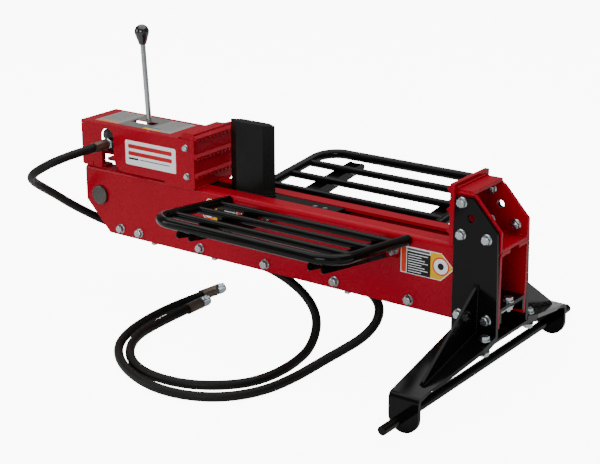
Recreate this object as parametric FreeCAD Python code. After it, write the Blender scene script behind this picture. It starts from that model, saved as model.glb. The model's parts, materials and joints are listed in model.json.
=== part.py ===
import FreeCAD, Part
import math
import os

# Tractor-mounted dual-action log splitter, in millimetres.
# +X runs along the beam towards the tractor hitch, +Y to the far side, +Z up.
# The origin is the centre of the lower hitch bar, which the tractor's two lift arms carry.

Vec = FreeCAD.Vector

# --- driving dimensions -------------------------------------------------------------------
BEAM_LENGTH = 1257.0
BEAM_HEIGHT = 178.0
BEAM_WIDTH = 132.0
BEAM_PLATE = 8.0
SLOT_WIDTH = 42.0
CHAMFER_LENGTH = 80.0
CHAMFER_HEIGHT = 82.0

HITCH_SETBACK = 68.0        # lower hitch bar to the beam's hitch end
HITCH_DROP = 124.0          # lower hitch bar below the beam's underside
HITCH_BAR_LENGTH = 870.0
HITCH_BAR_RADIUS = 11.11    # 7/8 in bar
HITCH_PIN_RADIUS = 10.9     # Category 1 lower pin, 21.8 mm, turned down from the bar
TOP_LINK_RADIUS = 9.75      # Category 1 top pin, 19 mm, with clearance

STROKE = 470.0
CYLINDER_BORE = 88.9
BARREL_RADIUS = 50.8
ROD_RADIUS = 22.2
RUNNING_FIT = 0.07
PIN_RADIUS = 12.7

FOOT_HEIGHT = 145.0
FOOT_WIDTH = 157.0
FOOT_PLATE = 11.5
WEDGE_HEIGHT = 180.5
WEDGE_LENGTH = 139.0
WEDGE_THICKNESS = 30.0

TRAY_REACH = 364.6          # beam centre to the outer tube of a log tray
TRAY_TUBE_RADIUS = 12.7
TRAY_BAR_RADIUS = 9.5

HOSE_RADIUS = 11.5
FERRULE_RADIUS = 14.5

LEVER_LEAN = 3.5            # degrees, towards the control end at neutral
LEVER_ROD_RADIUS = 7.0

# --- places worked out from them ----------------------------------------------------------
BEAM_START = HITCH_SETBACK - BEAM_LENGTH
WEB_OUT = BEAM_WIDTH / 2
WEB_IN = WEB_OUT - BEAM_PLATE
SLOT_HALF = SLOT_WIDTH / 2
FOOT_HALF = FOOT_WIDTH / 2
LEG_PLATE = 10.0
LEG_OUT = WEB_OUT + LEG_PLATE
TOUCH = 0.3                 # gap between parts of different bodies


def at(distance):
    """X of a point this far along the beam from its control end."""
    return BEAM_START + distance


def up(height):
    """Z of a point this high above the beam's underside."""
    return HITCH_DROP + height


PIN_AT = at(52)
PIN_Z = up(102)
RAIL_BOLT_Z = up(18.6)
RAIL_BOLTS = [at(120.5), at(186.1), at(395.3), at(604.5), at(813.7), at(1022.9)]
LEG_LOW_BOLTS = [at(1162), at(1232.1)]
LEG_HIGH_BOLTS = [(at(1161.6), up(283.7)), (at(1161.6), up(208.7)), (at(1226.9), up(208.7))]
TOP_LINK = (at(1185.6), up(249.9))
BOLT_RADIUS = 6.0
BOLT_HOLE = 6.5

CARRIAGE_START = at(378)
CARRIAGE_END = at(786)
KEEL_TOP = up(176.5)
WEDGE_AT = at(520)
ROD_PIN_AT = at(716)
FOOT_LEFT = at(393)         # toothed face at the control end
FOOT_RIGHT = at(1132)       # toothed face at the hitch end

PORT_AT = at(88)
SUPPLY_Z = up(250)
RETURN_Z = up(232)
SPOOL_Z = up(252)
FULCRUM_Z = up(212)
LEVER_AT = at(181.6)        # fulcrum pin


# --- helpers ------------------------------------------------------------------------------
def box(x0, x1, y0, y1, z0, z1):
    return Part.makeBox(x1 - x0, y1 - y0, z1 - z0, Vec(x0, y0, z0))


def cyl_x(x0, x1, y, z, radius):
    return Part.makeCylinder(radius, x1 - x0, Vec(x0, y, z), Vec(1, 0, 0))


def cyl_y(x, y0, y1, z, radius):
    return Part.makeCylinder(radius, y1 - y0, Vec(x, y0, z), Vec(0, 1, 0))


def cyl_z(x, y, z0, z1, radius):
    return Part.makeCylinder(radius, z1 - z0, Vec(x, y, z0), Vec(0, 0, 1))


def polygon_xz(points, y0, y1):
    """Plate with a straight-sided outline of (x, z) points, from y0 to y1."""
    wire = Part.makePolygon([Vec(x, y0, z) for x, z in points] + [Vec(points[0][0], y0, points[0][1])])
    return Part.Face(wire).extrude(Vec(0, y1 - y0, 0))


def polygon_yz(points, x0, x1):
    wire = Part.makePolygon([Vec(x0, y, z) for y, z in points] + [Vec(x0, points[0][0], points[0][1])])
    return Part.Face(wire).extrude(Vec(x1 - x0, 0, 0))


def polygon_xy(points, z0, z1):
    wire = Part.makePolygon([Vec(x, y, z0) for x, y in points] + [Vec(points[0][0], points[0][1], z0)])
    return Part.Face(wire).extrude(Vec(0, 0, z1 - z0))


def mirrored(shape):
    """The same piece on the other side of the beam."""
    return shape.mirror(Vec(0, 0, 0), Vec(0, 1, 0))


def round_edges(shape, radius, chosen):
    """Fillet the edges whose middle point passes the test."""
    edges = [edge for edge in shape.Edges if chosen(edge.CenterOfMass)]
    return shape.makeFillet(radius, edges)


def near(a, b, tolerance=0.5):
    return abs(a - b) < tolerance


def hexagon_prism(centre, axis, across_flats, height):
    """Hexagonal head or nut that starts at centre and runs along axis."""
    corner = across_flats / math.sqrt(3)
    helper = Vec(0, 0, 1) if abs(axis.z) < 0.9 else Vec(1, 0, 0)
    u = axis.cross(helper).normalize()
    v = axis.cross(u)
    ring = []
    for k in range(7):
        angle = math.radians(60 * k)
        ring.append(centre + u * (corner * math.cos(angle)) + v * (corner * math.sin(angle)))
    return Part.Face(Part.makePolygon(ring)).extrude(axis * height)


def flange_head(centre, axis, flats=19.0, flange_radius=13.2, height=11.0):
    """Hexagon bolt head or nut with its pressed-on round flange."""
    flange = Part.makeCylinder(flange_radius, 2.6, centre, axis)
    return flange.fuse(hexagon_prism(centre, axis, flats, height))


def bolt_y(x, z, head_y, end_y, radius=BOLT_RADIUS):
    """Flange bolt along Y: its head sits outside head_y and its shank ends at end_y."""
    out = Vec(0, 1, 0) if head_y > end_y else Vec(0, -1, 0)
    shank = cyl_y(x, min(head_y, end_y), max(head_y, end_y), z, radius)
    return shank.fuse(flange_head(Vec(x, head_y, z), out))


def nut_y(x, z, seat_y, outward, radius=BOLT_RADIUS):
    """Flange nut on a bolt along Y, seated at seat_y."""
    nut = flange_head(Vec(x, seat_y, z), Vec(0, outward, 0))
    return nut.cut(cyl_y(x, seat_y - 20, seat_y + 20, z, radius))


def bolt_z(x, y, top_z, length, radius=BOLT_RADIUS):
    shank = cyl_z(x, y, top_z - length, top_z, radius)
    return shank.fuse(flange_head(Vec(x, y, top_z), Vec(0, 0, 1)))


def nut_z(x, y, seat_z, radius=BOLT_RADIUS):
    nut = flange_head(Vec(x, y, seat_z), Vec(0, 0, -1))
    return nut.cut(cyl_z(x, y, seat_z - 20, seat_z + 20, radius))


def export(name, *solids):
    """Write one node; several solids are separate pieces of the same kind."""
    shape = solids[0] if len(solids) == 1 else Part.makeCompound(list(solids))
    for solid in shape.Solids:
        if not solid.isValid():
            print("invalid solid in", name)
    shape.exportStep("parts/" + name + ".step")


# --- beam ---------------------------------------------------------------------------------
def far_rail():
    """Bent plate: a web and a top flange that leaves the slot along the middle."""
    x0, x1 = at(0), at(BEAM_LENGTH)
    web = box(x0, x1, WEB_IN, WEB_OUT, up(0), up(BEAM_HEIGHT))
    flange = box(x0, x1, SLOT_HALF, WEB_OUT, up(BEAM_HEIGHT - BEAM_PLATE), up(BEAM_HEIGHT))
    rail = web.fuse(flange).removeSplitter()
    rail = round_edges(rail, 12, lambda c: near(c.y, WEB_OUT) and near(c.z, up(BEAM_HEIGHT))
                       and near(c.x, (x0 + x1) / 2))
    rail = round_edges(rail, 4, lambda c: near(c.y, WEB_IN) and near(c.z, up(BEAM_HEIGHT - BEAM_PLATE))
                       and near(c.x, (x0 + x1) / 2))
    corner = polygon_xz([(x0 - 1, up(CHAMFER_HEIGHT) + 1), (x0 - 1, up(-1)), (x0 + CHAMFER_LENGTH + 1, up(-1))],
                        WEB_IN - 1, WEB_OUT + 1)
    rail = rail.cut(corner)
    rail = rail.cut(cyl_y(PIN_AT, WEB_IN - 1, WEB_OUT + 1, PIN_Z, PIN_RADIUS))
    for x in RAIL_BOLTS + LEG_LOW_BOLTS:
        rail = rail.cut(cyl_y(x, WEB_IN - 1, WEB_OUT + 1, RAIL_BOLT_Z, BOLT_HOLE))
    return rail


def rail_spacers():
    """Tubes on the lower bolts that hold the two webs apart."""
    tubes = []
    for x in RAIL_BOLTS:
        tube = cyl_y(x, -WEB_IN, WEB_IN, RAIL_BOLT_Z, 12)
        tubes.append(tube.cut(cyl_y(x, -WEB_IN, WEB_IN, RAIL_BOLT_Z, BOLT_HOLE)))
    return tubes


def guide_bars():
    """Square bars welded inside the webs, on which the carriage plate slides."""
    bar = box(at(96), at(1148), 46, WEB_IN, up(147), up(157))
    return [bar, mirrored(bar)]


def rail_bolts():
    beam = [bolt_y(x, RAIL_BOLT_Z, -WEB_OUT, WEB_OUT + 16) for x in RAIL_BOLTS]
    legs = [bolt_y(x, RAIL_BOLT_Z, -LEG_OUT, LEG_OUT + 16) for x in LEG_LOW_BOLTS]
    return beam + legs


def rail_nuts():
    beam = [nut_y(x, RAIL_BOLT_Z, WEB_OUT, 1) for x in RAIL_BOLTS]
    legs = [nut_y(x, RAIL_BOLT_Z, LEG_OUT, 1) for x in LEG_LOW_BOLTS]
    return beam + legs


# --- cylinder -----------------------------------------------------------------------------
BARREL_START = at(104)
BARREL_END = at(668)
GLAND_LENGTH = 46.0
PISTON_START = at(107)
PISTON_LENGTH = 38.0


def cylinder_pin():
    """Base pin with a broad head on the near side."""
    head = cyl_y(PIN_AT, -WEB_OUT - 8, -WEB_OUT, PIN_Z, 26)
    head = head.makeChamfer(1.5, [e for e in head.Edges if near(e.CenterOfMass.y, -WEB_OUT - 8)])
    return head.fuse(cyl_y(PIN_AT, -WEB_OUT, WEB_OUT + 12, PIN_Z, PIN_RADIUS))


def pin_retainer():
    """Collar on the far end of the base pin."""
    collar = cyl_y(PIN_AT, WEB_OUT, WEB_OUT + 8, PIN_Z, 20)
    return collar.cut(cyl_y(PIN_AT, WEB_OUT, WEB_OUT + 8, PIN_Z, PIN_RADIUS))


def cylinder_base():
    """End cap with the lug that takes the base pin."""
    cap = cyl_x(at(84), BARREL_START, 0, PIN_Z, BARREL_RADIUS)
    lug = cyl_y(PIN_AT, -22, 22, PIN_Z, 24)
    lug = lug.fuse(box(PIN_AT, at(86), -22, 22, PIN_Z - 24, PIN_Z + 24))
    base = cap.fuse(lug).removeSplitter()
    return base.cut(cyl_y(PIN_AT, -23, 23, PIN_Z, PIN_RADIUS))


def cylinder_barrel():
    tube = cyl_x(BARREL_START, BARREL_END, 0, PIN_Z, BARREL_RADIUS)
    tube = tube.cut(cyl_x(BARREL_START, BARREL_END, 0, PIN_Z, CYLINDER_BORE / 2))
    block = box(PORT_BLOCK_AT, PORT_BLOCK_AT + 26, -54, -34, up(44), up(66))
    tube = tube.fuse(block).cut(cyl_x(BARREL_START, BARREL_END, 0, PIN_Z, CYLINDER_BORE / 2))
    return tube.cut(cyl_z(at(116), 0, PIN_Z + 40, PIN_Z + 52, PIPE_RADIUS + 0.1))


def cylinder_gland():
    """Head of the cylinder, which guides the rod."""
    gland = cyl_x(BARREL_END - GLAND_LENGTH, BARREL_END, 0, PIN_Z, CYLINDER_BORE / 2)
    gland = gland.fuse(cyl_x(BARREL_END, BARREL_END + 8, 0, PIN_Z, BARREL_RADIUS))
    return gland.cut(cyl_x(BARREL_END - 60, BARREL_END + 10, 0, PIN_Z, ROD_RADIUS + RUNNING_FIT))


def piston():
    end = PISTON_START + PISTON_LENGTH
    body = cyl_x(PISTON_START, end, 0, PIN_Z, CYLINDER_BORE / 2 - RUNNING_FIT)
    for x in (PISTON_START + 8, PISTON_START + 22):
        groove = cyl_x(x, x + 7, 0, PIN_Z, 46).cut(cyl_x(x, x + 7, 0, PIN_Z, 39))
        body = body.cut(groove)
    return body.cut(cyl_x(PISTON_START, end, 0, PIN_Z, 14))


def piston_seals():
    rings = []
    for x in (PISTON_START + 8, PISTON_START + 22):
        ring = cyl_x(x, x + 7, 0, PIN_Z, CYLINDER_BORE / 2 - RUNNING_FIT / 2)
        rings.append(ring.cut(cyl_x(x, x + 7, 0, PIN_Z, 39)))
    return rings


def piston_rod():
    """Rod with the stub that carries the piston and the eye for the carriage pin."""
    stub = cyl_x(PISTON_START, PISTON_START + PISTON_LENGTH, 0, PIN_Z, 14)
    rod = cyl_x(PISTON_START + PISTON_LENGTH, ROD_PIN_AT - 20, 0, PIN_Z, ROD_RADIUS)
    eye = cyl_y(ROD_PIN_AT, -22, 22, PIN_Z, 27)
    rod = rod.fuse(stub).fuse(eye)
    return rod.cut(cyl_y(ROD_PIN_AT, -23, 23, PIN_Z, PIN_RADIUS))


def rod_pin():
    return cyl_y(ROD_PIN_AT, -43, 43, PIN_Z, PIN_RADIUS)


def rod_pin_clips():
    rings = []
    for y in (-41, 38):
        ring = cyl_y(ROD_PIN_AT, y, y + 3, PIN_Z, 18)
        rings.append(ring.cut(cyl_y(ROD_PIN_AT, y, y + 3, PIN_Z, PIN_RADIUS)))
    return rings


# --- carriage and wedge -------------------------------------------------------------------
def wedge_carriage():
    """T-shaped slide: a plate under the flanges and a keel in the slot."""
    plate = box(CARRIAGE_START, CARRIAGE_END, -54, 54, up(157.5), up(169.5))
    keel = box(CARRIAGE_START, CARRIAGE_END, -SLOT_HALF + 1.5, SLOT_HALF - 1.5, up(169.5), KEEL_TOP)
    carriage = plate.fuse(keel).removeSplitter()
    for x in (ROD_PIN_AT, ROD_PIN_AT + 29):
        carriage = carriage.cut(cyl_z(x, -7, up(150), up(180), 4.2))
        carriage = carriage.cut(cyl_z(x, -7, KEEL_TOP - 7, up(180), 7.5))
    return carriage


def carriage_lugs():
    """Two cheeks under the carriage plate that take the rod pin."""
    lug = box(ROD_PIN_AT - 28, ROD_PIN_AT + 28, 22.6, 36, PIN_Z, up(157.5))
    lug = lug.fuse(cyl_y(ROD_PIN_AT, 22.6, 36, PIN_Z, 28)).removeSplitter()
    lug = lug.cut(cyl_y(ROD_PIN_AT, 20, 40, PIN_Z, PIN_RADIUS))
    tie = box(ROD_PIN_AT - 10, ROD_PIN_AT + 40, -22.6, 22.6, up(143), up(157.5))
    for x in (ROD_PIN_AT, ROD_PIN_AT + 29):
        tie = tie.cut(cyl_z(x, -7, up(140), up(160), 4.2))
    return [lug, mirrored(lug), tie]


def carriage_screws():
    """Socket screws that hold the lug block up to the carriage."""
    screws = []
    for x in (ROD_PIN_AT, ROD_PIN_AT + 29):
        screw = cyl_z(x, -7, up(144), KEEL_TOP - 6, 4.1)
        screw = screw.fuse(cyl_z(x, -7, KEEL_TOP - 6.9, KEEL_TOP - 0.4, 7.2))
        socket = hexagon_prism(Vec(x, -7, KEEL_TOP - 4), Vec(0, 0, 1), 6, 5)
        screws.append(screw.cut(socket))
    return screws


def wedge_blade():
    """Upright plate, sharp on both edges so that it splits either way."""
    tip = WEDGE_LENGTH / 2
    flat = tip - 27.5
    half = WEDGE_THICKNESS / 2
    outline = [(-tip, 0), (-flat, -half), (flat, -half), (tip, 0), (flat, half), (-flat, half)]
    return polygon_xy([(WEDGE_AT + x, y) for x, y in outline], KEEL_TOP, KEEL_TOP + WEDGE_HEIGHT)


# --- foot plates --------------------------------------------------------------------------
RIDGE_HEIGHTS = (33.0, 82.0, 131.0)
TOOTH_COUNT = 10
FOOT_BOTTOM = up(BEAM_HEIGHT)
FOOT_TOP = FOOT_BOTTOM + FOOT_HEIGHT


def foot_plate(face_x, facing):
    """Flat plate that stands across both rails; facing is the side the log bears on."""
    x0, x1 = sorted((face_x, face_x - facing * FOOT_PLATE))
    return box(x0, x1, -FOOT_HALF, FOOT_HALF, FOOT_BOTTOM, FOOT_TOP)


def foot_ridge(face_x, facing, height):
    """Saw-toothed bar across a foot plate."""
    z = FOOT_BOTTOM + height
    depth = 8.0 * facing
    profile = [(face_x, z - 9), (face_x + depth * 0.55, z - 7), (face_x + depth, z - 1),
               (face_x + depth, z + 4), (face_x, z + 9)]
    bar = polygon_xz(profile, -FOOT_HALF + 1, FOOT_HALF - 1)
    pitch = (FOOT_WIDTH - 2) / TOOTH_COUNT
    for k in range(TOOTH_COUNT - 1):
        y = -FOOT_HALF + 1 + (k + 1) * pitch
        notch = Part.makeCylinder(4.2, 24, Vec(face_x + depth + 1.5 * facing, y, z - 12), Vec(0, 0, 1))
        bar = bar.cut(notch)
    return bar


def foot_ridges(face_x, facing):
    return [foot_ridge(face_x, facing, height) for height in RIDGE_HEIGHTS]


CONTROL_CHEEK_IN = 60.0
CONTROL_CHEEK_OUT = 67.0


def control_foot_cheeks():
    """Upright plates behind the control foot; the valve cover screws to them."""
    back = FOOT_LEFT - FOOT_PLATE
    outline = [(at(304), FOOT_BOTTOM), (back, FOOT_BOTTOM), (back, up(320)), (at(350), up(320)),
               (at(304), up(256))]
    cheek = polygon_xz(outline, CONTROL_CHEEK_IN, CONTROL_CHEEK_OUT)
    for x, z in COVER_SCREWS:
        cheek = cheek.cut(cyl_y(x, 50, 75, z, 4.2))
    return [cheek, mirrored(cheek)]


def control_foot_cap():
    """Bridge between the two cheeks at the top of the foot."""
    back = FOOT_LEFT - FOOT_PLATE
    return box(at(350), back, -CONTROL_CHEEK_IN, CONTROL_CHEEK_IN, up(312), up(320))


# --- valve cover --------------------------------------------------------------------------
COVER_OUT = 70.3
COVER_SHEET = 3.0
COVER_TOP = up(304)
COVER_BOTTOM = up(181)
COVER_SCREWS = [(at(358), up(280)), (at(361), up(205.5))]
PORT_SLOT_RADIUS = 21.5


def cover_side():
    """Far side wall of the valve cover, with the hose slot and the stepped lower edge."""
    y0, y1 = COVER_OUT - COVER_SHEET, COVER_OUT
    back = FOOT_LEFT - FOOT_PLATE
    outline = [(at(-5), COVER_BOTTOM), (at(284), COVER_BOTTOM), (at(292), up(172)), (back, up(172)),
               (back, up(302)), (at(333), up(302)), (at(333), COVER_TOP), (at(-5), COVER_TOP)]
    wall = polygon_xz(outline, y0, y1)
    slot = box(PORT_AT - PORT_SLOT_RADIUS, PORT_AT + PORT_SLOT_RADIUS, y0 - 1, y1 + 1,
               COVER_BOTTOM - 1, up(270))
    slot = slot.fuse(cyl_y(PORT_AT, y0 - 1, y1 + 1, up(270), PORT_SLOT_RADIUS))
    wall = wall.cut(slot)
    wall = wall.cut(box(at(33), at(35), y0 - 1, y1 + 1, COVER_BOTTOM - 1, COVER_BOTTOM + 12))
    wall = round_edges(wall, 32, lambda c: near(c.x, PORT_AT + PORT_SLOT_RADIUS) and near(c.z, COVER_BOTTOM))
    wall = round_edges(wall, 7, lambda c: near(c.z, COVER_BOTTOM)
                       and (near(c.x, at(-5)) or near(c.x, PORT_AT - PORT_SLOT_RADIUS)))
    for x, z in COVER_SCREWS:
        wall = wall.cut(cyl_y(x, y0 - 1, y1 + 1, z, 4.2))
    return wall


def valve_cover():
    """Folded sheet over the valve: two side walls and a top with the lever slot."""
    top = box(at(-5), at(333), -COVER_OUT, COVER_OUT, COVER_TOP - COVER_SHEET, COVER_TOP)
    lever_slot = box(at(124), at(199), -12, 12, COVER_TOP - 5, COVER_TOP + 1)
    lever_slot = round_edges(lever_slot, 4, lambda c: near(c.z, COVER_TOP - 2)
                             and (near(c.x, at(124)) or near(c.x, at(199))) and near(abs(c.y), 12))
    side = cover_side()
    cover = side.fuse(mirrored(side)).fuse(top).removeSplitter()
    cover = round_edges(cover, 2.5, lambda c: near(abs(c.y), COVER_OUT) and near(c.z, COVER_TOP))
    return cover.cut(lever_slot)


def cover_screws():
    screws = []
    for x, z in COVER_SCREWS:
        for side in (-1, 1):
            head = flange_head(Vec(x, side * COVER_OUT, z), Vec(0, side, 0), 13.0, 9.5, 7.0)
            shank = cyl_y(x, min(side * 55, side * COVER_OUT), max(side * 55, side * COVER_OUT), z, 4.0)
            screws.append(head.fuse(shank))
    return screws


# --- valve and lever ----------------------------------------------------------------------
VALVE_START = at(45)
VALVE_END = at(138)
VALVE_HALF = 28.0
SPOOL_RADIUS = 8.0


def valve_body():
    """Cast control valve with its spool bore along the beam."""
    body = box(VALVE_START, VALVE_END, -VALVE_HALF, VALVE_HALF, up(216), up(284))
    body = body.makeFillet(5, [e for e in body.Edges if near(abs(e.CenterOfMass.y), VALVE_HALF)])
    boss = cyl_y(PORT_AT, -VALVE_HALF - 4, -VALVE_HALF + 10, SUPPLY_Z, 17)
    far_boss = cyl_y(PORT_AT, VALVE_HALF - 10, VALVE_HALF + 4, RETURN_Z, 15.5)
    body = body.fuse(boss).fuse(far_boss)
    body = body.cut(cyl_x(VALVE_START - 1, VALVE_END + 1, 0, SPOOL_Z, SPOOL_RADIUS + 0.05))
    body = body.cut(cyl_y(PORT_AT, -VALVE_HALF - 5, -12, SUPPLY_Z, 8))
    body = body.cut(cyl_y(PORT_AT, 12, VALVE_HALF + 5, RETURN_Z, 8))
    for x in WORK_PORTS:
        body = body.cut(cyl_z(x, WORK_PORT_Y, up(214), up(234), PIPE_RADIUS + 0.1))
    return body


def valve_cap():
    """Closed cap over the centring spring end of the spool."""
    cap = cyl_x(VALVE_START - 26, VALVE_START, 0, SPOOL_Z, 15)
    cap = cap.makeFillet(3, [e for e in cap.Edges if near(e.CenterOfMass.x, VALVE_START - 26)])
    return cap.cut(cyl_x(VALVE_START - 20, VALVE_START + 1, 0, SPOOL_Z, 11.5))


def relief_valve():
    """Relief valve plug with its hexagon, on top of the body."""
    stem = cyl_z(at(70), 12, up(284), up(291), 8)
    return stem.fuse(hexagon_prism(Vec(at(70), 12, up(286)), Vec(0, 0, 1), 17, 7))


def valve_mount():
    """Folded bracket that carries the valve above the rails."""
    shelf = box(at(28), at(131), -34, 34, up(208), up(216))
    leg = box(at(28), at(36), 24, 34, up(178), up(208))
    leg = leg.fuse(box(at(28), at(62), 24, 52, up(178), up(184)))
    other = box(at(119), at(127), 24, 34, up(178), up(208))
    other = other.fuse(box(at(105), at(131), 24, 52, up(178), up(184)))
    mount = shelf
    for piece in (leg, other, mirrored(leg), mirrored(other)):
        mount = mount.fuse(piece)
    for x in WORK_PORTS:
        mount = mount.cut(cyl_z(x, WORK_PORT_Y, up(200), up(220), 9))
    return mount.removeSplitter()


def valve_spool():
    """Spool with the forked end that the lever's slotted hub sits in."""
    spool = cyl_x(VALVE_START - 8, VALVE_END + 22, 0, SPOOL_Z, SPOOL_RADIUS)
    x = LEVER_AT - (SPOOL_Z - FULCRUM_Z) * math.tan(math.radians(LEVER_LEAN))
    fork = box(VALVE_END + 20, x + 10, -11.5, 11.5, SPOOL_Z - 8, SPOOL_Z + 8)
    fork = fork.cut(box(VALVE_END + 24, x + 12, -6.6, 6.6, SPOOL_Z - 9, SPOOL_Z + 9))
    pin = cyl_y(x, -13, 13, SPOOL_Z, 4)
    return spool.fuse(fork).fuse(pin)


def lever_bracket():
    """Two link plates on the valve's end that hold the fulcrum pin."""
    plate = box(VALVE_END, LEVER_AT, 7, 11, FULCRUM_Z - 9, FULCRUM_Z + 9)
    plate = plate.fuse(cyl_y(LEVER_AT, 7, 11, FULCRUM_Z, 9))
    foot = box(VALVE_END - 6, VALVE_END + 4, 7, 24, FULCRUM_Z - 9, FULCRUM_Z - 4)
    plate = plate.fuse(foot).cut(cyl_y(LEVER_AT, 6, 12, FULCRUM_Z, 5))
    return [plate, mirrored(plate)]


def fulcrum_pin():
    pin = cyl_y(LEVER_AT, -14, 11, FULCRUM_Z, 5)
    return pin.fuse(cyl_y(LEVER_AT, -15, -11, FULCRUM_Z, 8)).fuse(cyl_y(LEVER_AT, 11, 14, FULCRUM_Z, 8))


LEVER_ROD_END = 302.0       # length of the lever from the fulcrum to the knob's underside


def lean(shape):
    """Turn an upright lever piece about the fulcrum to its neutral lean."""
    turned = shape.copy()
    turned.rotate(Vec(LEVER_AT, 0, FULCRUM_Z), Vec(0, 1, 0), -LEVER_LEAN)
    return turned


def control_lever():
    """Flat hub on the fulcrum with the round rod welded above it."""
    hub = box(LEVER_AT - 11, LEVER_AT + 11, -6, 6, FULCRUM_Z, FULCRUM_Z + 66)
    hub = hub.fuse(cyl_y(LEVER_AT, -6, 6, FULCRUM_Z, 11))
    rod = cyl_z(LEVER_AT, 0, FULCRUM_Z + 58, FULCRUM_Z + LEVER_ROD_END + 20, LEVER_ROD_RADIUS)
    lever = hub.fuse(rod).cut(cyl_y(LEVER_AT, -7, 7, FULCRUM_Z, 5.05))
    reach = (SPOOL_Z - FULCRUM_Z) / math.cos(math.radians(LEVER_LEAN))
    slot = box(LEVER_AT - 4.3, LEVER_AT + 4.3, -7, 7, FULCRUM_Z + reach - 3, FULCRUM_Z + reach + 3)
    for z in (-3, 3):
        slot = slot.fuse(cyl_y(LEVER_AT, -7, 7, FULCRUM_Z + reach + z, 4.3))
    return lean(lever.cut(slot))


def lever_knob():
    """Pear-shaped knob, turned about the lever's axis."""
    base = FULCRUM_Z + LEVER_ROD_END
    axis_x = LEVER_AT
    bottom = Part.LineSegment(Vec(axis_x, 0, base), Vec(axis_x + 9.5, 0, base)).toShape()
    flank = Part.LineSegment(Vec(axis_x + 9.5, 0, base), Vec(axis_x + 18.6, 0, base + 28)).toShape()
    centre = base + 33.0
    radius = math.hypot(18.6, 5.0)
    slant = radius * math.sqrt(0.5)
    crown = Part.Arc(Vec(axis_x + 18.6, 0, base + 28), Vec(axis_x + slant, 0, centre + slant),
                     Vec(axis_x, 0, centre + radius)).toShape()
    core = Part.LineSegment(Vec(axis_x, 0, centre + radius), Vec(axis_x, 0, base)).toShape()
    face = Part.Face(Part.Wire([bottom, flank, crown, core]))
    knob = face.revolve(Vec(axis_x, 0, base), Vec(0, 0, 1), 360)
    knob = knob.cut(cyl_z(LEVER_AT, 0, base - 1, base + 20, LEVER_ROD_RADIUS))
    return lean(knob)


WORK_PORTS = (at(72), at(112))
WORK_PORT_Y = -11.0
PIPE_RADIUS = 5.0
PORT_BLOCK_AT = at(604)


def bent_round(points, radius):
    """Round tube or rod through a route: straight runs joined by arcs as large as they allow."""
    edges = []
    radii = []
    last = points[0]
    for before, corner, after in zip(points, points[1:], points[2:]):
        into = (corner - before).normalize()
        away = (after - corner).normalize()
        turn = into.getAngle(away)
        cut_back = 0.45 * min((corner - before).Length, (after - corner).Length)
        bend = cut_back / math.tan(turn / 2)
        start = corner - into * cut_back
        end = corner + away * cut_back
        inward = (away - into).normalize()
        middle = corner + inward * (bend / math.cos(turn / 2) - bend)
        edges.append(Part.LineSegment(last, start).toShape())
        edges.append(Part.Arc(start, middle, end).toShape())
        radii.append(bend)
        last = end
    edges.append(Part.LineSegment(last, points[-1]).toShape())
    spine = Part.Wire(edges)
    circle = Part.Wire(Part.makeCircle(radius, points[0], (points[1] - points[0]).normalize()))
    return spine.makePipeShell([circle], True, False), radii, spine.Length


def report_route(name, solid, radii, length, radius):
    expected = math.pi * radius ** 2 * length
    print("%s: length %.0f mm, smallest bend %.0f mm, volume ratio %.4f"
          % (name, length, min(radii), solid.Volume / expected))
    print("   bend radii:", " ".join("%.0f" % bend for bend in radii))


def work_pipes():
    """Steel pipes from the valve to the cylinder's two ports."""
    base_run = [Vec(WORK_PORTS[1], WORK_PORT_Y, up(222)), Vec(WORK_PORTS[1], WORK_PORT_Y, up(196)),
                Vec(at(116), 0, up(178)), Vec(at(116), 0, PIN_Z + 46)]
    head_run = [Vec(WORK_PORTS[0], WORK_PORT_Y, up(222)), Vec(WORK_PORTS[0], WORK_PORT_Y, up(168)),
                Vec(WORK_PORTS[0], -43, up(136)), Vec(WORK_PORTS[0], -46, up(52)),
                Vec(PORT_BLOCK_AT, -46, up(52))]
    return [bent_round(run, PIPE_RADIUS)[0] for run in (base_run, head_run)]


# --- hitch end ----------------------------------------------------------------------------
HITCH_BACK = FOOT_RIGHT + FOOT_PLATE


def hitch_cheeks():
    """Five-sided plates behind the hitch-end foot; the legs bolt to them."""
    outline = [(HITCH_BACK, up(BEAM_HEIGHT)), (at(1257), up(BEAM_HEIGHT)), (at(1257), up(228)),
               (at(1190), up(302)), (HITCH_BACK, up(302))]
    cheek = polygon_xz(outline, WEB_IN, WEB_OUT)
    for x, z in LEG_HIGH_BOLTS:
        cheek = cheek.cut(cyl_y(x, WEB_IN - 1, WEB_OUT + 1, z, BOLT_HOLE))
    cheek = cheek.cut(cyl_y(TOP_LINK[0], WEB_IN - 1, WEB_OUT + 1, TOP_LINK[1], TOP_LINK_RADIUS))
    return [cheek, mirrored(cheek)]


def hitch_top_plate():
    return box(HITCH_BACK, at(1186), -WEB_OUT, WEB_OUT, up(302), up(311))


def hitch_floor_plate():
    return box(HITCH_BACK, at(1257), -WEB_IN, WEB_IN, up(BEAM_HEIGHT), up(BEAM_HEIGHT + 8))


LEG_ROOT = up(-13)          # top of the outrigger where it leaves the leg's upright
LEG_FOLD = -HITCH_DROP + up(48)
END_OUT = 350.0             # outer face of the plates that carry the hitch bar
END_RADIUS = 38.0


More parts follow.
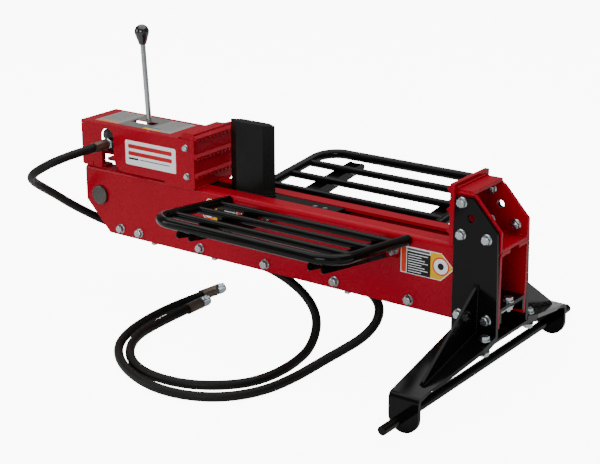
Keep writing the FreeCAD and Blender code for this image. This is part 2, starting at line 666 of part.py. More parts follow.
def far_leg():
    """One bent plate: upright on the beam, outrigger, and end plate round the hitch bar."""
    slope = (LEG_FOLD - LEG_ROOT) / (END_OUT - LEG_OUT)
    drop = LEG_PLATE * math.sqrt(1 + slope ** 2)
    profile = [(WEB_OUT, up(296)), (LEG_OUT, up(296)), (LEG_OUT, LEG_ROOT), (END_OUT, LEG_FOLD),
               (END_OUT, -END_RADIUS), (END_OUT - LEG_PLATE, -END_RADIUS),
               (END_OUT - LEG_PLATE, LEG_FOLD - drop - slope * LEG_PLATE),
               (WEB_OUT, LEG_ROOT - drop - slope * LEG_PLATE)]
    plate = polygon_yz(profile, HITCH_BACK, at(1260))
    plate = round_edges(plate, 14, lambda c: near(c.y, END_OUT, 1) and near(c.z, LEG_FOLD, 1))
    plate = round_edges(plate, 8, lambda c: near(c.y, WEB_OUT, 1) and near(c.z, LEG_ROOT - drop, 3))
    upright = polygon_xz([(HITCH_BACK, up(-60)), (at(1260), up(-60)), (at(1253), up(226)),
                          (at(1189), up(296)), (HITCH_BACK, up(296))], WEB_OUT - 1, LEG_OUT)
    upright = round_edges(upright, 12, lambda c: near(c.z, up(296)) and near(c.x, HITCH_BACK))
    outline = [(at(1150), LEG_OUT), (at(1260), LEG_OUT), (at(1259), 130), (38, END_OUT - 20),
               (38, END_OUT + 1), (-38, END_OUT + 1), (-38, END_OUT - 20)]
    outrigger = polygon_xy(outline, up(-70), up(0))
    end = box(-END_RADIUS, END_RADIUS, END_OUT - 60, END_OUT + 1, 0, up(-60))
    end = end.fuse(cyl_y(0, END_OUT - 60, END_OUT + 1, 0, END_RADIUS))
    leg = plate.common(upright.fuse(outrigger).fuse(end)).removeSplitter()
    for x, z in LEG_HIGH_BOLTS + [(x, RAIL_BOLT_Z) for x in LEG_LOW_BOLTS]:
        leg = leg.cut(cyl_y(x, WEB_OUT - 1, LEG_OUT + 1, z, BOLT_HOLE))
    leg = leg.cut(cyl_y(TOP_LINK[0], WEB_OUT - 1, LEG_OUT + 1, TOP_LINK[1], TOP_LINK_RADIUS))
    leg = leg.cut(cyl_y(0, END_OUT - 20, END_OUT + 2, 0, HITCH_BAR_RADIUS))
    for x in TIE_BOLTS:
        leg = leg.cut(cyl_z(x, TIE_BOLT_Y, up(-60), up(10), BOLT_HOLE))
    return leg


def outrigger_top(y):
    """Height of the outrigger's upper face this far from the beam's centre."""
    return LEG_ROOT + (LEG_FOLD - LEG_ROOT) * (y - LEG_OUT) / (END_OUT - LEG_OUT)


def leg_gussets():
    """Triangular stiffeners between the uprights and the outriggers."""
    tip = 300.0
    outline = [(LEG_OUT, up(96)), (LEG_OUT, outrigger_top(LEG_OUT)), (tip, outrigger_top(tip)),
               (tip, outrigger_top(tip) + 8)]
    gusset = polygon_yz(outline, at(1201), at(1209))
    return [gusset, mirrored(gusset)]


CHANNEL_TOP = up(45)


def cross_channel():
    """Inverted channel between the webs at the hitch end."""
    channel = box(at(1150), at(1257), -WEB_IN, WEB_IN, up(10), CHANNEL_TOP)
    channel = channel.cut(box(at(1149), at(1258), -WEB_IN + 8, WEB_IN - 8, up(9), CHANNEL_TOP - 8))
    for x in LEG_LOW_BOLTS:
        channel = channel.cut(cyl_y(x, -WEB_IN - 1, WEB_IN + 1, RAIL_BOLT_Z, BOLT_HOLE))
    return channel.cut(cyl_z(CHANNEL_BOLT_AT, 0, up(30), up(50), BOLT_HOLE))


TIE_BOLTS = (at(1172), at(1246))
TIE_BOLT_Y = 104.0
CHANNEL_BOLT_AT = at(1246)


def tie_plate():
    """Shallow bent plate under the beam that joins both outriggers."""
    slope = (LEG_FOLD - LEG_ROOT) / (END_OUT - LEG_OUT)
    thick = LEG_PLATE * math.sqrt(1 + slope ** 2)
    inner = outrigger_top(WEB_OUT + 10) - thick - 0.4
    outer = outrigger_top(126) - thick - 0.4
    side = [(WEB_OUT + 10, inner), (126, outer), (126, outer - 8), (WEB_OUT + 10, inner - 8)]
    profile = [(-y, z) for y, z in side] + side[::-1]
    plate = polygon_yz(profile, at(1158), at(1258))
    for x in TIE_BOLTS:
        for side_y in (-TIE_BOLT_Y, TIE_BOLT_Y):
            plate = plate.cut(cyl_z(x, side_y, up(-80), up(10), BOLT_HOLE))
    return plate


def leg_bolts():
    bolts = []
    for x, z in LEG_HIGH_BOLTS:
        bolts.append(bolt_y(x, z, -LEG_OUT, -WEB_IN + 16))
        bolts.append(bolt_y(x, z, LEG_OUT, WEB_IN - 16))
    return bolts


def leg_nuts():
    nuts = []
    for x, z in LEG_HIGH_BOLTS:
        nuts.append(nut_y(x, z, -WEB_IN, 1))
        nuts.append(nut_y(x, z, WEB_IN, -1))
    return nuts


def tie_bolts():
    """Upright bolts through the outriggers and the tie plate, and one in the cross channel."""
    top = outrigger_top(TIE_BOLT_Y - 13) + 0.4
    bolts = [bolt_z(x, y, top, 36) for x in TIE_BOLTS for y in (-TIE_BOLT_Y, TIE_BOLT_Y)]
    return bolts + [bolt_z(CHANNEL_BOLT_AT, 0, CHANNEL_TOP, 24)]


def tie_nuts():
    seat = outrigger_top(TIE_BOLT_Y + 13) - LEG_PLATE * 1.03 - 8.8
    nuts = [nut_z(x, y, seat, BOLT_RADIUS) for x in TIE_BOLTS for y in (-TIE_BOLT_Y, TIE_BOLT_Y)]
    return nuts + [nut_z(CHANNEL_BOLT_AT, 0, CHANNEL_TOP - 8)]


def hitch_bar():
    bar = cyl_y(0, -HITCH_BAR_LENGTH / 2, HITCH_BAR_LENGTH / 2, 0, HITCH_PIN_RADIUS)
    bar = bar.fuse(cyl_y(0, -END_OUT - 1, END_OUT + 1, 0, HITCH_BAR_RADIUS)).removeSplitter()
    return bar.makeChamfer(1.5, [e for e in bar.Edges if near(abs(e.CenterOfMass.y), HITCH_BAR_LENGTH / 2)])


# --- log trays ----------------------------------------------------------------------------
TRAY_ENDS = (at(494.5), at(1017.7))
TRAY_ROOT_Z = up(165)
TRAY_OUTER_Z = up(196)
TRAY_CORNER = 62.0
TRAY_BARS = (107.5, 193.2, 278.9)
BRACKETS = (at(594.5), at(967.5))
BRACKET_HALF = 20.0
TRAY_SLOPE = (TRAY_OUTER_Z - TRAY_ROOT_Z) / (TRAY_REACH - WEB_OUT)


def tray_z(y):
    """Height of the tray's middle plane this far from the beam's centre."""
    return TRAY_ROOT_Z + TRAY_SLOPE * (y - WEB_OUT)


def far_tray_tube():
    """Outer tube of a tray: two arms and the long outer run in one bent tube."""
    x0, x1 = TRAY_ENDS
    y1 = TRAY_REACH
    c = TRAY_CORNER
    k = c * (1 - math.sqrt(0.5))

    def place(x, y):
        return Vec(x, y, tray_z(y))

    edges = [Part.LineSegment(place(x0, WEB_OUT), place(x0, y1 - c)).toShape(),
             Part.Arc(place(x0, y1 - c), place(x0 + k, y1 - k), place(x0 + c, y1)).toShape(),
             Part.LineSegment(place(x0 + c, y1), place(x1 - c, y1)).toShape(),
             Part.Arc(place(x1 - c, y1), place(x1 - k, y1 - k), place(x1, y1 - c)).toShape(),
             Part.LineSegment(place(x1, y1 - c), place(x1, WEB_OUT)).toShape()]
    spine = Part.Wire(edges)
    direction = place(x0, y1) - place(x0, WEB_OUT)
    circle = Part.Wire(Part.makeCircle(TRAY_TUBE_RADIUS, place(x0, WEB_OUT), direction))
    tube = spine.makePipeShell([circle], True, False)
    return tube.cut(box(x0 - 20, x1 + 20, 0, WEB_OUT, up(100), up(178)))


def far_tray_bars():
    bars = []
    drop = TRAY_TUBE_RADIUS - TRAY_BAR_RADIUS
    for y in TRAY_BARS:
        bar = cyl_x(TRAY_ENDS[0], TRAY_ENDS[1], y, tray_z(y) - drop, TRAY_BAR_RADIUS)
        for x in TRAY_ENDS:
            start = Vec(x, WEB_OUT, tray_z(WEB_OUT))
            along = Vec(0, TRAY_REACH - WEB_OUT, TRAY_OUTER_Z - TRAY_ROOT_Z)
            bar = bar.cut(Part.makeCylinder(TRAY_TUBE_RADIUS, along.Length, start, along))
        bars.append(max(bar.Solids, key=lambda solid: solid.Volume))
    return bars


def far_bracket(x):
    """Channel under a tray, open below, with rounded outer ends on its flanges."""
    inner, outer = WEB_OUT + 2, TRAY_REACH + 4
    depth = 30.0
    lower = TRAY_TUBE_RADIUS + 0.2

    def flange(x0):
        profile = [(inner, tray_z(inner) - lower), (outer - 12, tray_z(outer - 12) - lower),
                   (outer, tray_z(outer) - lower - 9), (outer - 4, tray_z(outer) - lower - 20),
                   (outer - 40, tray_z(outer - 40) - lower - 22),
                   (inner, tray_z(inner) - lower - depth)]
        plate = polygon_yz(profile, x0, x0 + 4)
        return round_edges(plate, 7, lambda c: near(c.x, x0 + 2) and c.y > outer - 13)

    web = polygon_yz([(inner, tray_z(inner) - lower), (outer - 16, tray_z(outer - 16) - lower),
                      (outer - 16, tray_z(outer - 16) - lower - 4), (inner, tray_z(inner) - lower - 4)],
                     x - BRACKET_HALF + 4, x + BRACKET_HALF - 4)
    bracket = web.fuse(flange(x - BRACKET_HALF)).fuse(flange(x + BRACKET_HALF - 4)).removeSplitter()
    for y, z in SOCKET_BOLTS:
        bracket = bracket.cut(cyl_x(x - 30, x + 30, y, z, 5.2))
    return bracket


SOCKET_BOLTS = ((WEB_OUT + 16, up(140)), (WEB_OUT + 36, up(142)))


def far_socket(x):
    """Pair of lugs welded to the web, between which a bracket is bolted."""
    lugs = []
    for x0 in (x - BRACKET_HALF - 6, x + BRACKET_HALF):
        profile = [(WEB_OUT, up(152)), (WEB_OUT + 34, up(154)), (WEB_OUT + 48, up(146)),
                   (WEB_OUT + 44, up(132)), (WEB_OUT, up(116))]
        lug = polygon_yz(profile, x0, x0 + 6)
        for y, z in SOCKET_BOLTS:
            lug = lug.cut(cyl_x(x0 - 1, x0 + 7, y, z, 5.2))
        lugs.append(lug)
    return lugs


def socket_bolts(x):
    """Cross bolts that hold a tray bracket in its lugs, with their nuts."""
    bolts = []
    reach = BRACKET_HALF + 6
    for y, z in SOCKET_BOLTS:
        bolt = cyl_x(x - reach, x + reach + 9, y, z, 5)
        bolt = bolt.fuse(hexagon_prism(Vec(x - reach, y, z), Vec(-1, 0, 0), 16, 6))
        bolt = bolt.fuse(hexagon_prism(Vec(x + reach, y, z), Vec(1, 0, 0), 16, 7))
        bolts.append(bolt)
    return bolts


def both_sides(maker):
    """What a maker gives for each bracket place, on the far side and mirrored."""
    far = [solid for x in BRACKETS for solid in maker(x)]
    return far + [mirrored(solid) for solid in far]


# --- hoses --------------------------------------------------------------------------------
FLOOR_Z = -END_RADIUS
SUPPLY_ROUTE = [
    (-1101, -125, 374), (-1101, -168, 374), (-1105, -208, 372), (-1117, -243, 365),
    (-1139, -268, 351), (-1168, -276, 332), (-1197, -263, 311), (-1219, -231, 287),
    (-1231, -187, 259), (-1237, -137, 226), (-1239, -86, 189), (-1230, -36, 154),
    (-1205, 4, 124), (-1162, 24, 109), (-1108, 24, 106), (-1050, 13, 109), (-980, 5, 110),
    (-900, 3, 109), (-800, 5, 111), (-710, 4, 110), (-636, 3, 107), (-572, -2, 93),
    (-516, -5, 69), (-471, -18, 41), (-440, -44, 15), (-420, -84, -8), (-405, -132, -22),
    (-396, -186, -26), (-390, -246, -26), (-394, -308, -26), (-414, -366, -26),
    (-458, -414, -26), (-515, -449, -26), (-584, -463, -26), (-655, -456, -26),
    (-727, -419, -26), (-782, -358, -26), (-813, -288, -26), (-820, -212, -26),
    (-821, -145, -25), (-817, -95, -22.5)]
RETURN_ROUTE = [
    (-1101, 116, 356), (-1101, 152, 356), (-1100, 190, 340), (-1097, 222, 309),
    (-1092, 241, 266), (-1084, 241, 216), (-1072, 221, 170), (-1054, 184, 133),
    (-1028, 140, 110), (-990, 101, 106), (-940, 68, 106), (-878, 44, 108), (-800, 32, 110),
    (-700, 29, 109), (-600, 31, 111), (-510, 30, 110), (-430, 30, 110), (-360, 25, 108),
    (-302, 4, 98), (-264, -31, 83), (-250, -76, 61), (-262, -120, 37), (-290, -161, 15),
    (-319, -203, -7), (-338, -251, -23), (-346, -306, -26), (-355, -362, -26),
    (-380, -420, -26), (-426, -471, -26), (-490, -501, -26), (-560, -509, -26),
    (-630, -496, -26), (-702, -465, -26), (-767, -418, -26), (-817, -358, -26),
    (-846, -285, -26), (-862, -205, -26), (-867, -125, -26), (-862, -52, -25),
    (-851, 3, -22.5)]
FERRULE_LENGTH = 48.0
COLLAR_LENGTH = 5.0
NUT_LENGTH = 24.0
NUT_FLATS = 27.0


def hose(name, route):
    solid, radii, length = bent_round([Vec(*point) for point in route], HOSE_RADIUS)
    report_route(name, solid, radii, length, HOSE_RADIUS)
    return solid


def hose_ends():
    """Where each crimped end starts and which way it points: supply, then return, valve end first."""
    ends = []
    for route in (SUPPLY_ROUTE, RETURN_ROUTE):
        for tip, inner in ((route[0], route[1]), (route[-1], route[-2])):
            ends.append((Vec(*tip), (Vec(*tip) - Vec(*inner)).normalize()))
    return ends


def hose_fitting(start, way):
    """Crimped sleeve with its stem, and the hexagon nut that swivels on the stem."""
    length = FERRULE_LENGTH
    sleeve = Part.makeCylinder(FERRULE_RADIUS, length, start, way)
    sleeve = sleeve.fuse(Part.makeCylinder(9, COLLAR_LENGTH, start + way * length, way))
    base = start + way * (FERRULE_LENGTH + COLLAR_LENGTH)
    nut = hexagon_prism(base, way, NUT_FLATS, NUT_LENGTH)
    nut = nut.common(Part.makeCylinder(15.2, NUT_LENGTH, base, way))
    nut = nut.cut(Part.makeCylinder(9.5, NUT_LENGTH - 6, base + way * 6, way))
    return [sleeve, nut]


def fittings_at(places):
    return [piece for place in places for piece in hose_fitting(*hose_ends()[place])]


def port_adapters():
    """Straight fittings between the valve's ports and the hoses' nuts."""
    adapters = []
    for place in (0, 2):
        start, way = hose_ends()[place]
        mouth = start + way * (FERRULE_LENGTH + COLLAR_LENGTH + NUT_LENGTH)
        reach = abs(mouth.y) - VALVE_HALF - 4
        adapter = hexagon_prism(mouth, way, 24, reach)
        adapter = adapter.fuse(Part.makeCylinder(9.4, 17, mouth - way * 17, way))
        adapters.append(adapter.fuse(Part.makeCylinder(7.9, 10, mouth + way * reach, way)))
    return adapters


HANGER_BOLTS = (RAIL_BOLTS[1], RAIL_BOLTS[2], RAIL_BOLTS[4])


def hose_hangers():
    """Straps on the spacer tubes that carry the hoses under the beam."""
    hangers = []
    for x in HANGER_BOLTS:
        strap = box(x - 6, x + 6, -13, 48, 93.5, RAIL_BOLT_Z + 16)
        strap = strap.cut(box(x - 7, x + 7, -10.5, 45.5, 96, RAIL_BOLT_Z + 17))
        hangers.append(strap.cut(cyl_y(x, -20, 60, RAIL_BOLT_Z, 12)))
    return hangers


# --- build --------------------------------------------------------------------------------
os.makedirs("parts", exist_ok=True)

export("far_rail", far_rail())
export("near_rail", mirrored(far_rail()))
export("rail_spacers", *rail_spacers())
export("guide_bars", *guide_bars())
export("rail_bolts", *rail_bolts())
export("rail_nuts", *rail_nuts())

export("cylinder_pin", cylinder_pin())
export("pin_retainer", pin_retainer())
export("cylinder_base", cylinder_base())
export("cylinder_barrel", cylinder_barrel())
export("cylinder_gland", cylinder_gland())
export("piston", piston())
export("piston_seals", *piston_seals())
export("piston_rod", piston_rod())
export("rod_pin", rod_pin())
export("rod_pin_clips", *rod_pin_clips())

export("wedge_carriage", wedge_carriage())
export("carriage_lugs", *carriage_lugs())
export("carriage_screws", *carriage_screws())
export("wedge_blade", wedge_blade())

export("control_foot_plate", foot_plate(FOOT_LEFT, 1))
export("control_foot_ridges", *foot_ridges(FOOT_LEFT, 1))
export("control_foot_cheeks", *control_foot_cheeks())
export("control_foot_cap", control_foot_cap())
export("hitch_foot_plate", foot_plate(FOOT_RIGHT, -1))
export("hitch_foot_ridges", *foot_ridges(FOOT_RIGHT, -1))

export("valve_cover", valve_cover())
export("cover_screws", *cover_screws())
export("valve_body", valve_body())
export("valve_cap", valve_cap())
export("relief_valve", relief_valve())
export("valve_mount", valve_mount())
export("valve_spool", valve_spool())
export("lever_bracket", *lever_bracket())
export("fulcrum_pin", fulcrum_pin())
export("control_lever", control_lever())
export("lever_knob", lever_knob())
export("work_pipes", *work_pipes())

export("hitch_cheeks", *hitch_cheeks())
export("hitch_top_plate", hitch_top_plate())
export("hitch_floor_plate", hitch_floor_plate())
export("far_leg", far_leg())
export("near_leg", mirrored(far_leg()))
export("leg_gussets", *leg_gussets())
export("cross_channel", cross_channel())
export("tie_plate", tie_plate())
export("leg_bolts", *leg_bolts())
export("leg_nuts", *leg_nuts())
export("tie_bolts", *(tie_bolts() + tie_nuts()))
export("hitch_bar", hitch_bar())

export("near_log_tray", mirrored(far_tray_tube()), *[mirrored(bar) for bar in far_tray_bars()])
export("far_log_tray", far_tray_tube(), *far_tray_bars())
export("tray_brackets", *both_sides(lambda x: [far_bracket(x)]))
export("tray_sockets", *both_sides(far_socket))
export("socket_bolts", *both_sides(socket_bolts))

export("supply_hose", hose("supply_hose", SUPPLY_ROUTE))
export("return_hose", hose("return_hose", RETURN_ROUTE))
export("port_fittings", *(fittings_at((0, 2)) + port_adapters()))
export("hose_end_fittings", *fittings_at((1, 3)))
export("hose_hangers", *hose_hangers())
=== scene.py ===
"""Looks of a two-way hydraulic log splitter for a tractor's three-point hitch."""

import json
import logging
import math
from dataclasses import dataclass, field
from enum import Enum
from typing import Iterable, Sequence, Union

import bmesh
import bpy
from mathutils import Matrix, Vector

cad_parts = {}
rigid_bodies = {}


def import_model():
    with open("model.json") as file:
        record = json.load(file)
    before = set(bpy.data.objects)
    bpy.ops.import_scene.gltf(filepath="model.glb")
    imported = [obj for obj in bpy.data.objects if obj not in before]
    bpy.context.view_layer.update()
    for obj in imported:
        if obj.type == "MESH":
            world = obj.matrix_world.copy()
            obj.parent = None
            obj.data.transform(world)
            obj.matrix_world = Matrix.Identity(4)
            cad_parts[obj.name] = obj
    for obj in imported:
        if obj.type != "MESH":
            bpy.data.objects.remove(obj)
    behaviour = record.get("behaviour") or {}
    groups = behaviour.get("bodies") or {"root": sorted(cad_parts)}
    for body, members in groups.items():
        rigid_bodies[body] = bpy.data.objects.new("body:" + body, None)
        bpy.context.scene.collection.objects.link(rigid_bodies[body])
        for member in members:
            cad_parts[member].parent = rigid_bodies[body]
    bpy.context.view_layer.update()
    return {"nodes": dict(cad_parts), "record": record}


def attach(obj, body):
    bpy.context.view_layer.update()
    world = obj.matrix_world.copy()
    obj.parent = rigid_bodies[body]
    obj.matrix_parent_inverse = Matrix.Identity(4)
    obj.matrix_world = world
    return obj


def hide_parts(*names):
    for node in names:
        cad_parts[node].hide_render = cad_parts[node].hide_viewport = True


LOG = logging.getLogger("log_splitter")
MM = 0.001
BEAM_START = -1189.0    # X of the beam's control end, in millimetres
HITCH_DROP = 124.0      # height of the beam's underside over the hitch bar's centre, in millimetres
MERGE_REACH = 0.00002   # corners closer than this are one corner, in metres
FLAT_DEGREES = 0.4      # faces that meet at less than this are one face
HEAD_CREASE = 25.0      # edges of a fastener sharper than this stay sharp, in degrees
FLANGE_HEIGHT = 2.8     # height of a fastener's flange, in millimetres
NOISE_LOW, NOISE_HIGH = 0.3, 0.7    # noise values at the ends of a finish's range
LABEL_LIFT = 0.02       # gap between a label and its face, in millimetres
LABEL_FILM = 0.08       # thickness of each printed layer, in millimetres

Point = tuple[float, float, float]
Colour = tuple[float, float, float]
Outline = tuple[tuple[float, float], ...]
Feed = Union[bpy.types.NodeSocket, float]


def at(distance: float) -> float:
    """X in millimetres of a point this far along the beam from its control end."""
    return BEAM_START + distance


def up(height: float) -> float:
    """Z in millimetres of a point this high above the beam's underside."""
    return HITCH_DROP + height


def metres(point: Sequence[float]) -> Vector:
    """A point given in millimetres as a vector in metres."""
    return Vector(point) * MM


class Side(Enum):
    """The two long sides of the beam, as the sign of Y."""

    NEAR = -1
    FAR = 1


class Way(Enum):
    """The two ways along the beam, as the sign of X."""

    TO_CONTROL = -1
    TO_HITCH = 1


# --- finishes -----------------------------------------------------------------------------
@dataclass(frozen=True)
class Finish:
    """A surface finish that makes its own node material.

    Attributes:
        name: Name of the material.
        slot: Material slot of the record that the finish stands for.
        colour: Base colour, linear.
    """

    name: str
    slot: str
    colour: Colour

    def material(self) -> bpy.types.Material:
        """The finish's material, made on its first use.

        Returns:
            The material.
        """
        found = bpy.data.materials.get(self.name)
        if found is not None:
            return found
        made = bpy.data.materials.new(self.name)
        made.use_nodes = True
        tree = made.node_tree
        tree.nodes.clear()
        output = tree.nodes.new("ShaderNodeOutputMaterial")
        shader = tree.nodes.new("ShaderNodeBsdfPrincipled")
        shader.inputs["Base Color"].default_value = (*self.colour, 1.0)
        tree.links.new(shader.outputs["BSDF"], output.inputs["Surface"])
        self.build(tree, shader)
        return made

    def build(self, tree: bpy.types.NodeTree, shader: bpy.types.Node) -> None:
        """Add the finish's own nodes.

        Args:
            tree: The material's node tree.
            shader: Its principled shader.
        """

    def noise(self, tree: bpy.types.NodeTree, scale: float, detail: float = 3.0,
              stretch: Point = (1.0, 1.0, 1.0)) -> bpy.types.NodeSocket:
        """A noise value on the piece's own coordinates.

        Args:
            tree: The material's node tree.
            scale: Noise scale, per metre.
            detail: Octaves.
            stretch: Scale of each axis.

        Returns:
            The noise's factor socket.
        """
        place = tree.nodes.new("ShaderNodeTexCoord")
        mapping = tree.nodes.new("ShaderNodeMapping")
        mapping.inputs["Scale"].default_value = stretch
        texture = tree.nodes.new("ShaderNodeTexNoise")
        texture.inputs["Scale"].default_value = scale
        texture.inputs["Detail"].default_value = detail
        tree.links.new(place.outputs["Object"], mapping.inputs["Vector"])
        tree.links.new(mapping.outputs["Vector"], texture.inputs["Vector"])
        return texture.outputs["Fac"]

    def spread(self, tree: bpy.types.NodeTree, value: bpy.types.NodeSocket, low: float, high: float,
               start: float = NOISE_LOW, end: float = NOISE_HIGH) -> bpy.types.NodeSocket:
        """Map a noise value to a range.

        Args:
            tree: The material's node tree.
            value: The value to map.
            low: Result at start.
            high: Result at end.
            start: Value that gives low.
            end: Value that gives high.

        Returns:
            The mapped socket.
        """
        node = tree.nodes.new("ShaderNodeMapRange")
        node.inputs["From Min"].default_value = start
        node.inputs["From Max"].default_value = end
        node.inputs["To Min"].default_value = low
        node.inputs["To Max"].default_value = high
        tree.links.new(value, node.inputs["Value"])
        return node.outputs["Result"]

    def tint(self, tree: bpy.types.NodeTree, shader: bpy.types.Node, value: bpy.types.NodeSocket,
             low: Colour, high: Colour) -> None:
        """Vary the base colour between two colours.

        Args:
            tree: The material's node tree.
            shader: Its principled shader.
            value: Factor socket.
            low: Colour at the low end of the noise.
            high: Colour at its high end.
        """
        ramp = tree.nodes.new("ShaderNodeValToRGB")
        ramp.color_ramp.elements[0].position = NOISE_LOW
        ramp.color_ramp.elements[0].color = (*low, 1.0)
        ramp.color_ramp.elements[1].position = NOISE_HIGH
        ramp.color_ramp.elements[1].color = (*high, 1.0)
        tree.links.new(value, ramp.inputs["Fac"])
        tree.links.new(ramp.outputs["Color"], shader.inputs["Base Color"])

    def bump(self, tree: bpy.types.NodeTree, shader: bpy.types.Node, value: bpy.types.NodeSocket,
             height: float, strength: float = 1.0) -> None:
        """Raise the surface by a value.

        Args:
            tree: The material's node tree.
            shader: Its principled shader.
            value: Height socket.
            height: Height in metres of a value of one.
            strength: Strength of the effect.
        """
        node = tree.nodes.new("ShaderNodeBump")
        node.inputs["Distance"].default_value = height
        node.inputs["Strength"].default_value = strength
        tree.links.new(value, node.inputs["Height"])
        tree.links.new(node.outputs["Normal"], shader.inputs["Normal"])


def scaled(colour: Colour, factor: float) -> Colour:
    """A colour made darker or lighter by a factor."""
    return (colour[0] * factor, colour[1] * factor, colour[2] * factor)


@dataclass(frozen=True)
class Paint(Finish):
    """Sprayed gloss paint with a light orange peel, an uneven tone and an uneven gloss."""

    roughness: float = 0.28
    peel: float = 0.00012
    uneven: float = 0.10
    specular: float = 0.2

    def build(self, tree: bpy.types.NodeTree, shader: bpy.types.Node) -> None:
        """Add the peel, the uneven tone and the uneven gloss.

        Args:
            tree: The material's node tree.
            shader: Its principled shader.
        """
        tone = self.noise(tree, 3.5, 1.0)
        self.tint(tree, shader, tone, scaled(self.colour, 1.0 - self.uneven),
                  scaled(self.colour, 1.0 + self.uneven))
        haze = self.noise(tree, 14.0, 2.0)
        tree.links.new(self.spread(tree, haze, self.roughness * 0.8, self.roughness * 1.3),
                       shader.inputs["Roughness"])
        shader.inputs["Specular IOR Level"].default_value = self.specular
        self.bump(tree, shader, self.noise(tree, 30.0, 0.0), self.peel, 0.2)


@dataclass(frozen=True)
class Plating(Finish):
    """Bare or plated metal with fine streaks and a mottled bright layer."""

    roughness: float = 0.3
    metallic: float = 1.0
    streak: Point = (1.0, 1.0, 1.0)
    grain: float = 500.0
    mottle: float = 0.15

    def build(self, tree: bpy.types.NodeTree, shader: bpy.types.Node) -> None:
        """Add the mottled colour, the streaks and the grain.

        Args:
            tree: The material's node tree.
            shader: Its principled shader.
        """
        shader.inputs["Metallic"].default_value = self.metallic
        tone = self.noise(tree, 160.0, 4.0, self.streak)
        self.tint(tree, shader, tone, scaled(self.colour, 1.0 - self.mottle),
                  scaled(self.colour, 1.0 + self.mottle))
        streaks = self.noise(tree, self.grain, 3.0, self.streak)
        tree.links.new(self.spread(tree, streaks, self.roughness * 0.75, self.roughness * 1.35),
                       shader.inputs["Roughness"])
        self.bump(tree, shader, streaks, 0.00008, 0.4)


@dataclass(frozen=True)
class HoseRubber(Finish):
    """Cloth-wrapped hydraulic hose cover, matte with a fine grain."""

    def build(self, tree: bpy.types.NodeTree, shader: bpy.types.Node) -> None:
        """Add a brownish bloom, an uneven gloss and the cloth's grain.

        Args:
            tree: The material's node tree.
            shader: Its principled shader.
        """
        self.tint(tree, shader, self.noise(tree, 24.0, 4.0), scaled(self.colour, 0.8),
                  (self.colour[0] * 1.35, self.colour[1] * 1.3, self.colour[2] * 1.15))
        shader.inputs["Specular IOR Level"].default_value = 0.2
        tree.links.new(self.spread(tree, self.noise(tree, 180.0, 3.0), 0.42, 0.62),
                       shader.inputs["Roughness"])
        self.bump(tree, shader, self.noise(tree, 900.0, 4.0), 0.00025, 0.5)


@dataclass(frozen=True)
class Moulding(Finish):
    """Gloss moulded plastic."""

    roughness: float = 0.2

    def build(self, tree: bpy.types.NodeTree, shader: bpy.types.Node) -> None:
        """Add an uneven gloss, a clear coat and a faint ripple.

        Args:
            tree: The material's node tree.
            shader: Its principled shader.
        """
        tree.links.new(self.spread(tree, self.noise(tree, 90.0, 3.0), self.roughness * 0.8,
                                   self.roughness * 1.3), shader.inputs["Roughness"])
        shader.inputs["Coat Weight"].default_value = 0.5
        self.bump(tree, shader, self.noise(tree, 300.0, 2.0), 0.00006, 0.4)


@dataclass(frozen=True)
class Ink(Finish):
    """Printed vinyl."""

    roughness: float = 0.32

    def build(self, tree: bpy.types.NodeTree, shader: bpy.types.Node) -> None:
        """Add the print's uneven tone and gloss.

        Args:
            tree: The material's node tree.
            shader: Its principled shader.
        """
        shader.inputs["Specular IOR Level"].default_value = 0.12
        self.tint(tree, shader, self.noise(tree, 700.0, 3.0), scaled(self.colour, 0.93),
                  scaled(self.colour, 1.05))
        tree.links.new(self.spread(tree, self.noise(tree, 120.0, 3.0), self.roughness * 0.8,
                                   self.roughness * 1.3), shader.inputs["Roughness"])


RED_PAINT = Paint("gloss_red_enamel", "red_paint", (0.30, 0.0022, 0.0120),
                  roughness=0.24, peel=0.00002, uneven=0.06, specular=0.09)
BLACK_PAINT = Paint("gloss_black_enamel", "black_paint", (0.0024, 0.0023, 0.0022),
                    roughness=0.14, peel=0.00002, uneven=0.12, specular=0.13)
BLADE_PAINT = Paint("blade_enamel", "black_paint", (0.0042, 0.0044, 0.0042),
                    roughness=0.34, peel=0.00004, uneven=0.2, specular=0.13)
ZINC = Plating("zinc_plate", "zinc_steel", (0.38, 0.42, 0.435), roughness=0.24)
LEVER_ZINC = Plating("lever_zinc", "zinc_steel", (0.36, 0.39, 0.40), roughness=0.17,
                     streak=(6.0, 6.0, 1.0))
PIN_STEEL = Plating("pin_steel", "bar_steel", (0.085, 0.083, 0.078), roughness=0.36)
ROD_CHROME = Plating("hard_chrome", "rod_chrome", (0.72, 0.73, 0.75), roughness=0.12,
                     streak=(0.2, 5.0, 5.0))
MACHINED = Plating("machined_steel", "steel", (0.42, 0.42, 0.43), roughness=0.32)
CASTING = Plating("valve_casting", "cast_body", (0.06, 0.06, 0.062), roughness=0.5, metallic=0.3,
                  grain=300.0, mottle=0.3)
FERRULE = Plating("ferrule_plate", "plated_fitting", (0.125, 0.098, 0.078), roughness=0.38, metallic=0.9)
FITTING_ZINC = Plating("fitting_zinc", "plated_fitting", (0.42, 0.49, 0.53), roughness=0.24)
HOSE = HoseRubber("hose_cover", "hose_rubber", (0.0024, 0.0022, 0.0019))
SEAL = HoseRubber("moulded_seal", "seal_rubber", (0.006, 0.006, 0.006))
KNOB = Moulding("knob_moulding", "knob_plastic", (0.0026, 0.0026, 0.0028))
INK_WHITE = Ink("ink_white", "red_paint", (0.74, 0.76, 0.78))
INK_SILVER = Ink("ink_silver", "red_paint", (0.27, 0.272, 0.262))
INK_GREY = Ink("ink_grey", "red_paint", (0.15, 0.153, 0.147))
INK_RED = Ink("ink_red", "red_paint", (0.4150, 0.0095, 0.0144))
INK_SCARLET = Ink("ink_scarlet", "red_paint", (0.5746, 0.0399, 0.0160))
INK_BLACK = Ink("ink_black", "red_paint", (0.0095, 0.0095, 0.0095))
